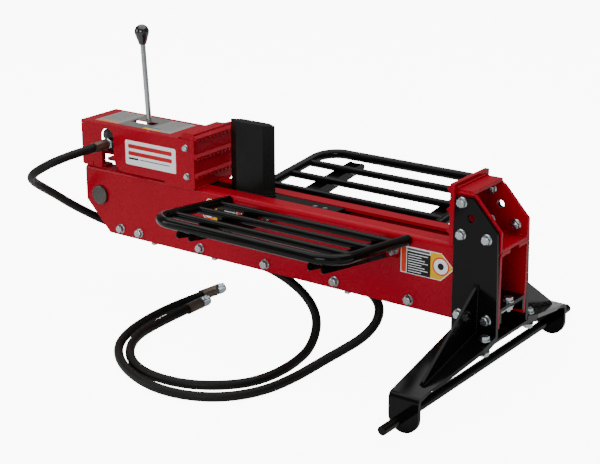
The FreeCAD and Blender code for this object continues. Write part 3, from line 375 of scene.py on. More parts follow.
INK_YELLOW = Ink("ink_yellow", "red_paint", (0.6863, 0.3830, 0.0080))
INK_ORANGE = Ink("ink_orange", "red_paint", (0.6384, 0.1915, 0.0319))
INK_BLUE = Ink("ink_blue", "red_paint", (0.0638, 0.1277, 0.3591))
INK_TEXT = Ink("ink_text", "red_paint", (0.06, 0.062, 0.066))
FINISH_OF_SLOT = {finish.slot: finish for finish in
                  (RED_PAINT, BLACK_PAINT, ZINC, PIN_STEEL, ROD_CHROME, MACHINED, CASTING, FERRULE,
                   HOSE, SEAL, KNOB)}


# --- mesh helpers -------------------------------------------------------------------------
def new_piece(name: str, mesh: bpy.types.Mesh, finish: Finish) -> bpy.types.Object:
    """Put a mesh in the scene as a piece with one finish.

    Args:
        name: The piece's name.
        mesh: Its mesh, in the row's frame.
        finish: The finish that it gets.

    Returns:
        The new object.
    """
    mesh.name = name
    mesh.materials.clear()
    mesh.materials.append(finish.material())
    piece = bpy.data.objects.new(name, mesh)
    bpy.context.scene.collection.objects.link(piece)
    return piece


def mesh_from(build: bmesh.types.BMesh, name: str) -> bpy.types.Mesh:
    """Turn a bmesh into a mesh and free it.

    Args:
        build: The bmesh.
        name: Name of the mesh.

    Returns:
        The mesh.
    """
    mesh = bpy.data.meshes.new(name)
    build.to_mesh(mesh)
    build.free()
    return mesh


def smooth(mesh: bpy.types.Mesh, degrees: float = 32.0) -> None:
    """Shade a mesh smooth except across sharp edges.

    Args:
        mesh: The mesh.
        degrees: Edges sharper than this stay sharp.
    """
    for face in mesh.polygons:
        face.use_smooth = True
    mesh.set_sharp_from_angle(angle=math.radians(degrees))


def settled(piece: bpy.types.Object) -> bpy.types.Object:
    """Make a piece's modifiers part of its mesh.

    Args:
        piece: A piece with modifiers.

    Returns:
        The same piece, with none.
    """
    bpy.context.view_layer.update()
    graph = bpy.context.evaluated_depsgraph_get()
    plain = bpy.data.meshes.new_from_object(piece.evaluated_get(graph), depsgraph=graph)
    piece.modifiers.clear()
    piece.data = plain
    return piece


def rounded(piece: bpy.types.Object, width: float, segments: int = 2,
            degrees: float = 35.0) -> bpy.types.Object:
    """Break a piece's sharp edges.

    Args:
        piece: The piece.
        width: Width of the broken edge, in millimetres.
        segments: Faces across it.
        degrees: Edges sharper than this are broken.

    Returns:
        The same piece.
    """
    bevel = piece.modifiers.new("edges", "BEVEL")
    bevel.width = width * MM
    bevel.segments = segments
    bevel.limit_method = "ANGLE"
    bevel.angle_limit = math.radians(degrees)
    bevel.use_clamp_overlap = True
    weigh = piece.modifiers.new("normals", "WEIGHTED_NORMAL")
    weigh.weight = 80
    weigh.keep_sharp = True
    settled(piece)
    return piece


def refined(nodes: dict, node: str, finish: Finish, body: str, width: float = 0.7) -> bpy.types.Object:
    """A CAD node's shape with its edges broken and shaded smooth, standing for the node.

    Args:
        nodes: The frame's CAD objects by node.
        node: The node's name.
        finish: The finish that it gets.
        body: The body that it rides on.
        width: Width of the broken edges, in millimetres.

    Returns:
        The new piece.
    """
    build = bmesh.new()
    build.from_mesh(nodes[node].data)
    bmesh.ops.remove_doubles(build, verts=build.verts, dist=MERGE_REACH)
    bmesh.ops.dissolve_limit(build, angle_limit=math.radians(FLAT_DEGREES), verts=build.verts,
                             edges=build.edges)
    mesh = mesh_from(build, node + "_shape")
    smooth(mesh)
    piece = new_piece(node + "_finished", mesh, finish)
    if width > 0:
        rounded(piece, width)
    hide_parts(node)
    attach(piece, body)
    LOG.info("%s on %s, %d faces", piece.name, body, len(piece.data.polygons))
    return piece


def prism(build: bmesh.types.BMesh, outline: Sequence[Point], thickness: Vector) -> list:
    """Add a closed plate to a bmesh.

    Args:
        build: The bmesh.
        outline: Corners of one face, in metres.
        thickness: Vector from that face to the other.

    Returns:
        The new faces.
    """
    low = [build.verts.new(Vector(p)) for p in outline]
    high = [build.verts.new(Vector(p) + thickness) for p in outline]
    faces = [build.faces.new(low[::-1]), build.faces.new(high)]
    count = len(outline)
    for k in range(count):
        after = (k + 1) % count
        faces.append(build.faces.new((low[k], low[after], high[after], high[k])))
    bmesh.ops.recalc_face_normals(build, faces=faces)
    return faces


# --- geometry node trees ------------------------------------------------------------------
class Tree:
    """A geometry node tree with named inputs."""

    def __init__(self, name: str) -> None:
        """Start an empty tree with a geometry input and output."""
        self.group = bpy.data.node_groups.new(name, "GeometryNodeTree")
        self.ids: dict[str, str] = {}
        self.add_input("Geometry", "NodeSocketGeometry")
        self.group.interface.new_socket("Geometry", in_out="OUTPUT", socket_type="NodeSocketGeometry")
        self.start = self.group.nodes.new("NodeGroupInput")
        self.end = self.group.nodes.new("NodeGroupOutput")

    def add_input(self, name: str, kind: str) -> None:
        """Add a named input and remember its identifier."""
        socket = self.group.interface.new_socket(name, in_out="INPUT", socket_type=kind)
        self.ids[name] = socket.identifier

    def node(self, kind: str, **settings: str) -> bpy.types.Node:
        """Add a node.

        Args:
            kind: The node's type.
            settings: Its properties by name.

        Returns:
            The node.
        """
        made = self.group.nodes.new(kind)
        for key, value in settings.items():
            setattr(made, key, value)
        return made

    def link(self, source: bpy.types.NodeSocket, target: bpy.types.NodeSocket) -> None:
        """Join two sockets."""
        self.group.links.new(source, target)

    def given(self, name: str) -> bpy.types.NodeSocket:
        """The socket of one of the tree's inputs."""
        return self.start.outputs[name]

    def feed(self, value: Feed, target: bpy.types.NodeSocket) -> None:
        """Link a socket to a target, or set the target to a number.

        Args:
            value: The socket or the number.
            target: The socket that takes it.
        """
        if isinstance(value, bpy.types.NodeSocket):
            self.link(value, target)
        else:
            target.default_value = value

    def math(self, operation: str, first: Feed, second: Feed | None = None) -> bpy.types.NodeSocket:
        """A math node on sockets or numbers.

        Args:
            operation: The node's operation.
            first: Socket or number.
            second: Socket or number, where it has one.

        Returns:
            Its result.
        """
        made = self.node("ShaderNodeMath", operation=operation)
        self.feed(first, made.inputs[0])
        if second is not None:
            self.feed(second, made.inputs[1])
        return made.outputs[0]

    def times(self, first: Feed, second: Feed) -> bpy.types.NodeSocket:
        """The product of two sockets or numbers."""
        return self.math("MULTIPLY", first, second)

    def finish(self, geometry: bpy.types.NodeSocket, smooth_shade: bool = True) -> None:
        """Realize instances, shade, set the material and end the tree.

        Args:
            geometry: What the tree has made.
            smooth_shade: Whether its faces are shaded smooth.
        """
        realize = self.node("GeometryNodeRealizeInstances")
        shade = self.node("GeometryNodeSetShadeSmooth")
        shade.inputs["Shade Smooth"].default_value = smooth_shade
        dress = self.node("GeometryNodeSetMaterial")
        self.link(geometry, realize.inputs["Geometry"])
        self.link(realize.outputs["Geometry"], shade.inputs["Geometry"])
        self.link(shade.outputs["Geometry"], dress.inputs["Geometry"])
        self.link(self.given("Material"), dress.inputs["Material"])
        self.link(dress.outputs["Geometry"], self.end.inputs["Geometry"])

    def run(self, piece: bpy.types.Object, values: dict) -> bpy.types.Object:
        """Run the tree on a piece and keep the result as its mesh.

        Args:
            piece: Object whose mesh is the tree's geometry input.
            values: Input values by name.

        Returns:
            The same piece.
        """
        modifier = piece.modifiers.new(self.group.name, "NODES")
        modifier.node_group = self.group
        for name, value in values.items():
            modifier[self.ids[name]] = value
        return settled(piece)


def fastener_tree() -> Tree:
    """Hexagon heads with a flange and a shank, one on each point, facing the point's way.

    Returns:
        The tree.
    """
    tree = Tree("fasteners")
    for name in ("Flats", "Height", "Flange", "Flange Height", "Shank", "Grip"):
        tree.add_input(name, "NodeSocketFloat")
    tree.add_input("Seed", "NodeSocketInt")
    tree.add_input("Material", "NodeSocketMaterial")
    corner = tree.times(tree.given("Flats"), 1.0 / math.sqrt(3.0))
    join = tree.node("GeometryNodeJoinGeometry")

    def solid(sides: int, bottom: Feed, top: Feed, depth: Feed, base: Feed) -> None:
        """Add one ring or prism of the fastener.

        Args:
            sides: Number of its sides.
            bottom: Radius at its foot.
            top: Radius at its top.
            depth: Its height.
            base: Height that it stands on.
        """
        cone = tree.node("GeometryNodeMeshCone")
        cone.inputs["Vertices"].default_value = sides
        for socket, value in (("Radius Bottom", bottom), ("Radius Top", top), ("Depth", depth)):
            tree.feed(value, cone.inputs[socket])
        shift = tree.node("ShaderNodeCombineXYZ")
        tree.feed(base, shift.inputs["Z"])
        move = tree.node("GeometryNodeTransform")
        tree.link(cone.outputs["Mesh"], move.inputs["Geometry"])
        tree.link(shift.outputs["Vector"], move.inputs["Translation"])
        tree.link(move.outputs["Geometry"], join.inputs["Geometry"])

    flange_height = tree.given("Flange Height")
    flange = tree.given("Flange")
    height = tree.given("Height")
    rim, skirt = 36, 0.25
    hexagon, chamfer, crown = 0.86, 0.10, 0.04
    solid(rim, tree.times(flange, 0.97), flange, tree.times(flange_height, skirt), 0.0)
    solid(rim, flange, tree.times(flange, 0.84), tree.times(flange_height, 1.0 - skirt),
          tree.times(flange_height, skirt))
    solid(6, corner, corner, tree.times(height, hexagon), 0.0)
    solid(6, corner, tree.times(corner, 0.86), tree.times(height, chamfer), tree.times(height, hexagon))
    solid(24, tree.times(corner, 0.82), tree.times(corner, 0.74), tree.times(height, crown),
          tree.times(height, 1.0 - crown))
    solid(24, tree.given("Shank"), tree.given("Shank"), tree.given("Grip"),
          tree.times(tree.given("Grip"), -1.0))
    way = tree.node("GeometryNodeInputNamedAttribute", data_type="FLOAT_VECTOR")
    way.inputs["Name"].default_value = "facing"
    align = tree.node("FunctionNodeAlignRotationToVector", axis="Z")
    tree.link(way.outputs["Attribute"], align.inputs["Vector"])
    spin = tree.node("FunctionNodeRandomValue", data_type="FLOAT")
    spin.inputs["Max"].default_value = math.pi
    tree.link(tree.given("Seed"), spin.inputs["Seed"])
    about = tree.node("FunctionNodeAxisAngleToRotation")
    tree.link(spin.outputs["Value"], about.inputs["Angle"])
    turned = tree.node("FunctionNodeRotateRotation", rotation_space="LOCAL")
    tree.link(align.outputs["Rotation"], turned.inputs["Rotation"])
    tree.link(about.outputs["Rotation"], turned.inputs["Rotate By"])
    place = tree.node("GeometryNodeInstanceOnPoints")
    tree.link(tree.given("Geometry"), place.inputs["Points"])
    tree.link(join.outputs["Geometry"], place.inputs["Instance"])
    tree.link(turned.outputs["Rotation"], place.inputs["Rotation"])
    tree.finish(place.outputs["Instances"], False)
    return tree


def row_tree() -> Tree:
    """Copies of the piece's own mesh in an even row.

    Returns:
        The tree.
    """
    tree = Tree("even_row")
    tree.add_input("Count", "NodeSocketInt")
    tree.add_input("Step", "NodeSocketVector")
    tree.add_input("Material", "NodeSocketMaterial")
    line = tree.node("GeometryNodeMeshLine")
    tree.link(tree.given("Count"), line.inputs["Count"])
    tree.link(tree.given("Step"), line.inputs["Offset"])
    place = tree.node("GeometryNodeInstanceOnPoints")
    tree.link(line.outputs["Mesh"], place.inputs["Points"])
    tree.link(tree.given("Geometry"), place.inputs["Instance"])
    tree.finish(place.outputs["Instances"])
    return tree


def weld_tree() -> Tree:
    """Overlapping drops along edges, as a run of weld.

    Returns:
        The tree.
    """
    tree = Tree("weld_run")
    for name in ("Radius", "Pitch"):
        tree.add_input(name, "NodeSocketFloat")
    tree.add_input("Seed", "NodeSocketInt")
    tree.add_input("Material", "NodeSocketMaterial")
    curve = tree.node("GeometryNodeMeshToCurve")
    even = tree.node("GeometryNodeResampleCurve", mode="LENGTH")
    drop = tree.node("GeometryNodeMeshUVSphere")
    drop.inputs["Segments"].default_value = 8
    drop.inputs["Rings"].default_value = 5
    tree.link(tree.given("Radius"), drop.inputs["Radius"])
    size = tree.node("FunctionNodeRandomValue", data_type="FLOAT_VECTOR")
    size.inputs["Min"].default_value = (0.85, 0.85, 0.7)
    size.inputs["Max"].default_value = (1.15, 1.15, 0.95)
    tree.link(tree.given("Seed"), size.inputs["Seed"])
    place = tree.node("GeometryNodeInstanceOnPoints")
    tree.link(tree.given("Geometry"), curve.inputs["Mesh"])
    tree.link(curve.outputs["Curve"], even.inputs["Curve"])
    tree.link(tree.given("Pitch"), even.inputs["Length"])
    tree.link(even.outputs["Curve"], place.inputs["Points"])
    tree.link(drop.outputs["Mesh"], place.inputs["Instance"])
    tree.link(size.outputs["Value"], place.inputs["Scale"])
    tree.finish(place.outputs["Instances"])
    return tree


def ferrule_tree() -> Tree:
    """Crimped sleeve: eight pressed flats with ring grooves between its two plain lips.

    Returns:
        The tree.
    """
    tree = Tree("crimped_sleeve")
    for name in ("Radius", "Length", "Press"):
        tree.add_input(name, "NodeSocketFloat")
    tree.add_input("Material", "NodeSocketMaterial")
    tube = tree.node("GeometryNodeMeshCylinder")
    tube.inputs["Vertices"].default_value = 64
    tube.inputs["Side Segments"].default_value = 56
    tree.link(tree.given("Radius"), tube.inputs["Radius"])
    tree.link(tree.given("Length"), tube.inputs["Depth"])
    spot = tree.node("GeometryNodeInputPosition")
    parts = tree.node("ShaderNodeSeparateXYZ")
    tree.link(spot.outputs["Position"], parts.inputs["Vector"])
    angle = tree.math("ARCTAN2", parts.outputs["Y"], parts.outputs["X"])
    wave = tree.math("SINE", tree.times(angle, 4.0))
    flats = tree.times(tree.math("ABSOLUTE", wave), 0.55)
    along = tree.math("DIVIDE", parts.outputs["Z"], tree.given("Length"))
    ripple = tree.math("SINE", tree.times(along, 34.0))
    rings = tree.times(tree.math("ABSOLUTE", ripple), 0.35)
    lip = tree.math("POWER", tree.math("ABSOLUTE", tree.times(along, 2.0)), 14.0)
    inside = tree.math("SUBTRACT", 1.0, lip)
    pressed = tree.times(tree.math("ADD", flats, rings), inside)
    depth = tree.times(pressed, tree.given("Press"))
    share = tree.math("SUBTRACT", 1.0, tree.math("DIVIDE", depth, tree.given("Radius")))
    rebuilt = tree.node("ShaderNodeCombineXYZ")
    tree.link(tree.times(parts.outputs["X"], share), rebuilt.inputs["X"])
    tree.link(tree.times(parts.outputs["Y"], share), rebuilt.inputs["Y"])
    tree.link(parts.outputs["Z"], rebuilt.inputs["Z"])
    move = tree.node("GeometryNodeSetPosition")
    tree.link(tube.outputs["Mesh"], move.inputs["Geometry"])
    tree.link(rebuilt.outputs["Vector"], move.inputs["Position"])
    tree.finish(move.outputs["Geometry"])
    return tree


@dataclass
class Shop:
    """The frame and the node trees that every sub-assembly works with."""

    nodes: dict
    fasteners: Tree = field(default_factory=fastener_tree)
    row: Tree = field(default_factory=row_tree)
    weld: Tree = field(default_factory=weld_tree)
    ferrule: Tree = field(default_factory=ferrule_tree)

    def hand_over(self, piece: bpy.types.Object, finish: Finish, body: str,
                  *nodes: str) -> bpy.types.Object:
        """Give a finished piece its body and the nodes that it stands for.

        Args:
            piece: The piece.
            finish: Its finish; not used.
            body: The body that it rides on.
            nodes: CAD nodes that it replaces.

        Returns:
            The same piece.
        """
        if nodes:
            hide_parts(*nodes)
        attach(piece, body)
        LOG.info("%s on %s, %d faces", piece.name, body, len(piece.data.polygons))
        return piece

    def bolts(self, name: str, spots: Iterable[tuple[Point, Point]], body: str, nodes: Sequence[str],
              flats: float = 19.0, height: float = 11.0, flange: float = 13.2, grip: float = 16.0,
              shank: float = 6.0, seed: int = 3, finish: Finish = ZINC) -> bpy.types.Object:
        """Fasteners at the given places.

        Args:
            name: The piece's name.
            spots: Seat and facing of each, in millimetres.
            body: The body that they ride on.
            nodes: CAD nodes that they replace.
            flats: Width across the hexagon.
            height: Height of the head.
            flange: Radius of the flange.
            grip: Length of the shank below the seat.
            shank: Radius of the shank.
            seed: Seed of the hexagons' turns.
            finish: Their finish.

        Returns:
            The piece.
        """
        places = list(spots)
        mesh = bpy.data.meshes.new(name)
        mesh.from_pydata([metres(seat) for seat, facing in places], [], [])
        facings = mesh.attributes.new("facing", "FLOAT_VECTOR", "POINT")
        for index, (seat, facing) in enumerate(places):
            facings.data[index].vector = facing
        piece = new_piece(name, mesh, finish)
        self.fasteners.run(piece, {
            "Flats": flats * MM, "Height": height * MM, "Flange": flange * MM,
            "Flange Height": FLANGE_HEIGHT * MM, "Shank": shank * MM, "Grip": grip * MM, "Seed": seed,
            "Material": finish.material()})
        piece.data.set_sharp_from_angle(angle=math.radians(HEAD_CREASE))
        return self.hand_over(piece, finish, body, *nodes)

    def welds(self, name: str, runs: Sequence[Sequence[Point]], body: str, finish: Finish,
              radius: float = 2.6, seed: int = 5) -> bpy.types.Object:
        """Weld runs along open paths.

        Args:
            name: The piece's name.
            runs: Paths, in millimetres.
            body: The body that they ride on.
            finish: Their finish.
            radius: Size of the bead.
            seed: Seed of its unevenness.

        Returns:
            The piece.
        """
        corners: list[Vector] = []
        edges: list[tuple[int, int]] = []
        for run in runs:
            first = len(corners)
            corners.extend(metres(p) for p in run)
            edges.extend((first + k, first + k + 1) for k in range(len(run) - 1))
        mesh = bpy.data.meshes.new(name)
        mesh.from_pydata(corners, edges, [])
        piece = new_piece(name, mesh, finish)
        self.weld.run(piece, {"Radius": radius * MM, "Pitch": radius * 0.75 * MM, "Seed": seed,
                              "Material": finish.material()})
        return self.hand_over(piece, finish, body)


# --- labels -------------------------------------------------------------------------------
@dataclass(frozen=True)
class Patch:
    """One flat printed shape of a label, in the label's own millimetres."""

    outline: Outline
    ink: Ink
    layer: int = 1


def oblong(x0: float, x1: float, y0: float, y1: float) -> Outline:
    """Corners of a rectangle."""
    return ((x0, y0), (x1, y0), (x1, y1), (x0, y1))


def round_oblong(x0: float, x1: float, y0: float, y1: float, radius: float) -> Outline:
    """Outline of a rectangle with round corners.

    Args:
        x0: Its left edge.
        x1: Its right edge.
        y0: Its lower edge.
        y1: Its upper edge.
        radius: Radius of the corners.

    Returns:
        The outline.
    """
    steps = 6
    points = []
    for cx, cy, start in ((x1 - radius, y0 + radius, -90), (x1 - radius, y1 - radius, 0),
                          (x0 + radius, y1 - radius, 90), (x0 + radius, y0 + radius, 180)):
        for k in range(steps + 1):
            angle = math.radians(start + 90 * k / steps)
            points.append((cx + radius * math.cos(angle), cy + radius * math.sin(angle)))
    return tuple(points)


def disc(cx: float, cy: float, radius: float, sides: int = 40) -> Outline:
    """Outline of a circle."""
    return tuple((cx + radius * math.cos(2 * math.pi * k / sides),
                  cy + radius * math.sin(2 * math.pi * k / sides)) for k in range(sides))


@dataclass
class Label:
    """A printed label: thin patches laid on a flat face."""

    name: str
    origin: Point
    across: Point
    upward: Point
    patches: list[Patch]

    def make(self, shop: Shop) -> None:
        """Build one piece for each ink.

        Args:
            shop: The shop.
        """
        across, upward = Vector(self.across), Vector(self.upward)
        out = across.cross(upward)
        base = metres(self.origin)
        inks: dict[str, tuple[Ink, bmesh.types.BMesh]] = {}
        for patch in self.patches:
            if patch.ink.name not in inks:
                inks[patch.ink.name] = (patch.ink, bmesh.new())
            outline = [base + (across * x + upward * y) * MM + out * LABEL_LIFT * MM
                       for x, y in patch.outline]
            prism(inks[patch.ink.name][1], outline, out * (LABEL_FILM * patch.layer) * MM)
        for ink, build in inks.values():
            piece = new_piece(self.name + "_" + ink.name, mesh_from(build, self.name), ink)
            shop.hand_over(piece, ink, "frame")


# --- sub-assemblies -----------------------------------------------------------------------
@dataclass
class Beam:
    """The two bent rails with their lower bolts, guide bars and spacers."""

    bolt_places: tuple[float, ...] = (120.5, 186.1, 395.3, 604.5, 813.7, 1022.9)
    leg_bolt_places: tuple[float, ...] = (1162.0, 1232.1)
    bolt_height: float = 18.6
    web: float = 66.0
    leg_face: float = 76.0
    tip_rise: float = 9.0

    def make(self, shop: Shop) -> None:
        """Build the rails and what is bolted through them.

        Args:
            shop: The shop.
        """
        for node in ("near_rail", "far_rail"):
            refined(shop.nodes, node, RED_PAINT, "frame", 0.9)
        refined(shop.nodes, "guide_bars", RED_PAINT, "frame", 0.6)
        refined(shop.nodes, "rail_spacers", ZINC, "frame", 0.5)
        heads = [((at(x), -self.web, up(self.bolt_height)), (0, -1, 0)) for x in self.bolt_places]
        heads += [((at(x), -self.leg_face, up(self.bolt_height)), (0, -1, 0)) for x in self.leg_bolt_places]
        shop.bolts("rail_bolt_heads", heads, "frame", ["rail_bolts"], grip=140.0)
        nuts = [((at(x), self.web, up(self.bolt_height)), (0, 1, 0)) for x in self.bolt_places]
        nuts += [((at(x), self.leg_face, up(self.bolt_height)), (0, 1, 0)) for x in self.leg_bolt_places]
        shop.bolts("rail_bolt_nuts", nuts, "frame", ["rail_nuts"], seed=8)
        ends = [((x, y + self.tip_rise, z), way) for (x, y, z), way in nuts]
        shop.bolts("rail_bolt_tips", ends, "frame", [], flats=8.0, height=7.0, flange=5.9, grip=9.0,
                   shank=5.9, seed=2)

    def labels(self, shop: Shop) -> None:
        """Lay the two arrow-shaped labels on the near web.

        Args:
            shop: The shop.
        """
        face = -self.web - 0.05
        for name, place, height, way in (("hitch_end_label", 1000, 84, Way.TO_HITCH),
                                         ("control_end_label", 534, 92, Way.TO_CONTROL)):
            Label(name, (at(place), face, up(height)), (1, 0, 0), (0, 0, 1), self.arrow(way)).make(shop)

    def arrow(self, way: Way) -> list[Patch]:
        """Patches of a label that points one way along the beam.

        Args:
            way: The way that it points.

        Returns:
            Its patches.
        """
        def flip(outline: Outline) -> Outline:
            """Mirror an outline if the label points to the control end.

            Args:
                outline: The outline for a label that points to the hitch.

            Returns:
                The outline for this label.
            """
            if way is Way.TO_HITCH:
                return outline
            return tuple((-x, y) for x, y in reversed(outline))

        patches = [Patch(flip(((0, 0), (108, 0), (142, 34), (108, 66), (0, 66))), INK_WHITE, 1),
                   Patch(flip(((17, 1.5), (80, 1.5), (80, 55), (17, 55))), INK_BLACK, 2),
                   Patch(flip(((80, 1.5), (107, 1.5), (139.5, 34), (107, 64.5), (80, 64.5))), INK_YELLOW, 2),
                   Patch(flip(oblong(2, 15, 2, 64)), INK_SCARLET, 2),
                   Patch(flip(oblong(17, 78, 57.5, 62.5)), INK_TEXT, 2),
                   Patch(flip(disc(107, 34, 22)), INK_SCARLET, 3),
                   Patch(flip(disc(107, 34, 18.5)), INK_WHITE, 4),
                   Patch(flip(disc(107, 34, 8.0)), INK_BLACK, 5)]
        for k in range(8):
            patches.append(Patch(flip(oblong(20, 56 + 17 * ((k * 5) % 3) / 2, 6 + 6 * k, 7.8 + 6 * k)),
                                 INK_WHITE, 3))
        return patches


@dataclass
class ValveHousing:
    """Folded cover with the valve, its fittings and its labels."""

    face: float = 70.3
    roof: float = 304.0
    screws: tuple[tuple[float, float], ...] = ((358.0, 280.0), (361.0, 205.5))

    def make(self, shop: Shop) -> None:
        """Build the cover, the screws and what the cover hides.

        Args:
            shop: The shop.
        """
        for node, finish, width in (("valve_cover", RED_PAINT, 0.8), ("valve_mount", RED_PAINT, 0.8),
                                    ("valve_body", CASTING, 1.2), ("valve_cap", CASTING, 0.8),
                                    ("relief_valve", ZINC, 0.6), ("work_pipes", ZINC, 0.3),
                                    ("lever_bracket", ZINC, 0.6), ("fulcrum_pin", ZINC, 0.6)):
            refined(shop.nodes, node, finish, "frame", width)
        refined(shop.nodes, "valve_spool", ROD_CHROME, "spool", 0.5)
        spots = [((at(x), side.value * self.face, up(z)), (0, side.value, 0))
                 for x, z in self.screws for side in Side]
        shop.bolts("cover_screw_heads", spots, "frame", ["cover_screws"], flats=13.0, height=7.0,
                   flange=9.5, grip=15.0, shank=4.0, seed=11)

    def labels(self, shop: Shop) -> None:
        """Lay the roof's label and the name plate with generic marks."""
        self.roof_label().make(shop)
        self.name_plate().make(shop)

    def roof_label(self) -> Label:
        """Silver panel round the lever's slot.

        Returns:
            The label.
        """
        patches = [Patch(oblong(30, 112, -52, 56), INK_SILVER, 1),
                   Patch(oblong(112, 214, -52, -13), INK_GREY, 1),
                   Patch(oblong(112, 214, 13, 55), INK_GREY, 1),
                   Patch(oblong(112, 123, -13, 13), INK_GREY, 1),
                   Patch(oblong(200, 214, -13, 13), INK_GREY, 1),
                   Patch(oblong(214, 293, -53, 53), INK_SILVER, 1),
                   Patch(oblong(32, 104, -50, -38), INK_ORANGE, 2),
                   Patch(oblong(196, 250, -51, -40), INK_YELLOW, 2),
                   Patch(oblong(200, 246, -38, -31), INK_BLUE, 2)]
        for k in range(11):
            y = -30 + 7.5 * k
            patches.append(Patch(oblong(36, 92 + 12 * ((k * 3) % 2), y, y + 1.6), INK_TEXT, 2))
            patches.append(Patch(oblong(220, 272 + 14 * ((k * 5) % 2), y, y + 1.6), INK_TEXT, 2))
        return Label("roof_label", (at(0), 0, up(self.roof) + 0.02), (1, 0, 0), (0, 1, 0), patches)

    def name_plate(self) -> Label:
        """White plate with plain red and black bars.

        Returns:
            The label.
        """
        patches = [Patch(round_oblong(0, 173, 0, 66, 5), INK_WHITE, 1)]
        patches.append(Patch(round_oblong(10, 160, 45, 56, 3), INK_RED, 2))
        patches.append(Patch(round_oblong(10, 160, 26, 37, 3), INK_RED, 2))
        patches.append(Patch(oblong(11, 44, 15, 20), INK_BLACK, 2))
        patches.append(Patch(oblong(50, 152, 16.3, 18.7), INK_TEXT, 2))
        return Label("name_plate", (at(152), -self.face - 0.05, up(206)), (1, 0, 0), (0, 0, 1), patches)


@dataclass
class ToothedFoot:
    """A foot plate with three toothed ridges."""

    name: str
    face: float
    facing: Way
    half_width: float = 77.5
    teeth: int = 10
    heights: tuple[float, ...] = (33.0, 82.0, 131.0)
    foot_bottom: float = 178.0
    lip: float = 1.4
    drop: float = 7.0

    def lobe(self, height: float) -> bpy.types.Mesh:
        """One tooth: a length of the sloping bar with a rounded lobe under its lip.

        Args:
            height: Height of the ridge above the foot's bottom edge, in millimetres.

        Returns:
            The tooth's mesh, at the near end of its row.
        """
        pitch = 2 * self.half_width / self.teeth
        z = up(self.foot_bottom + height)
        x0 = at(self.face)
        y0 = -self.half_width
        out = self.facing.value
        steps = 10
        build = bmesh.new()
        profile = [(0.0, 9.0), (1.6, 8.9), (7.8, 2.6), (8.0, 0.4), (6.6, -1.4), (0.0, -2.6)]
        prism(build, [metres((x0 + dx * out, y0, z + dz)) for dx, dz in profile],
              Vector((0.0, pitch * MM, 0.0)))
        reach = pitch * 0.36
        outline = [(y0 + pitch / 2 + reach * math.cos(math.pi * k / steps),
                    z - self.lip - self.drop * math.sin(math.pi * k / steps)) for k in range(steps + 1)]
        rings = []
        for depth, share in ((0.0, 1.0), (5.6, 1.0), (6.9, 0.88), (7.6, 0.66)):
            middle = y0 + pitch / 2
            rings.append([build.verts.new(metres((x0 + depth * out, middle + (y - middle) * share,
                                                  z - self.lip + (h - z + self.lip) * share)))
                          for y, h in outline])
        faces = []
        count = len(outline)
        for before, after in zip(rings, rings[1:]):
            for k in range(count):
                other = (k + 1) % count
                faces.append(build.faces.new((before[k], before[other], after[other], after[k])))
        faces.append(build.faces.new(rings[0]))
        faces.append(build.faces.new(rings[-1]))
        bmesh.ops.recalc_face_normals(build, faces=faces)
        return mesh_from(build, self.name)

    def make(self, shop: Shop) -> None:
        """Build the plate and its ridges.

        Args:
            shop: The shop.
        """
        refined(shop.nodes, self.name + "_plate", RED_PAINT, "frame", 1.0)
        pitch = 2 * self.half_width / self.teeth
        parts = []
        for height in self.heights:
            piece = new_piece(self.name + "_row", self.lobe(height), RED_PAINT)
            shop.row.run(piece, {"Count": self.teeth, "Step": (0.0, pitch * MM, 0.0),
                                 "Material": RED_PAINT.material()})
            parts.append(piece)
        ridges = joined(self.name + "_teeth", parts, RED_PAINT)
        smooth(ridges.data, 34.0)
        shop.hand_over(ridges, RED_PAINT, "frame", self.name + "_ridges")


def joined(name: str, pieces: Sequence[bpy.types.Object], finish: Finish) -> bpy.types.Object:
    """Join pieces into one.

    Args:
        name: Name of the result.
        pieces: The pieces, which are used up.
        finish: Its finish.

    Returns:
        The joined piece.
    """
    build = bmesh.new()
    for piece in pieces:
        build.from_mesh(piece.data)
        bpy.data.objects.remove(piece)
    bmesh.ops.remove_doubles(build, verts=build.verts, dist=MERGE_REACH)
    for face in build.faces:
        face.material_index = 0
    return new_piece(name, mesh_from(build, name), finish)


@dataclass
class Feet:
    """Both foot plates and the plates behind them."""

    def make(self, shop: Shop) -> None:
        """Build both feet and their weld runs.

        Args:
            shop: The shop.
        """
        ToothedFoot("control_foot", 393.0, Way.TO_HITCH).make(shop)
        ToothedFoot("hitch_foot", 1132.0, Way.TO_CONTROL).make(shop)
        for node in ("control_foot_cheeks", "control_foot_cap", "hitch_cheeks", "hitch_top_plate",
                     "hitch_floor_plate"):
            refined(shop.nodes, node, RED_PAINT, "frame", 0.9)
        runs = []
        for s in (side.value for side in Side):
            runs.append([(at(394), s * 25, up(179)), (at(394), s * 64, up(179))])
            runs.append([(at(1131), s * 25, up(179)), (at(1131), s * 64, up(179))])
            runs.append([(at(380), s * 68, up(184)), (at(380), s * 68, up(318))])
            runs.append([(at(1145), s * 57, up(188)), (at(1145), s * 57, up(300))])
            runs.append([(at(1147), s * 57, up(187)), (at(1254), s * 57, up(187))])
            runs.append([(at(1146), s * 67, up(303)), (at(1184), s * 66, up(302))])
        runs.append([(at(1144.5), -64, up(312)), (at(1144.5), 64, up(312))])
        runs.append([(at(380), -58, up(321)), (at(380), 58, up(321))])
        shop.welds("foot_welds", runs, "frame", RED_PAINT, 3.8)


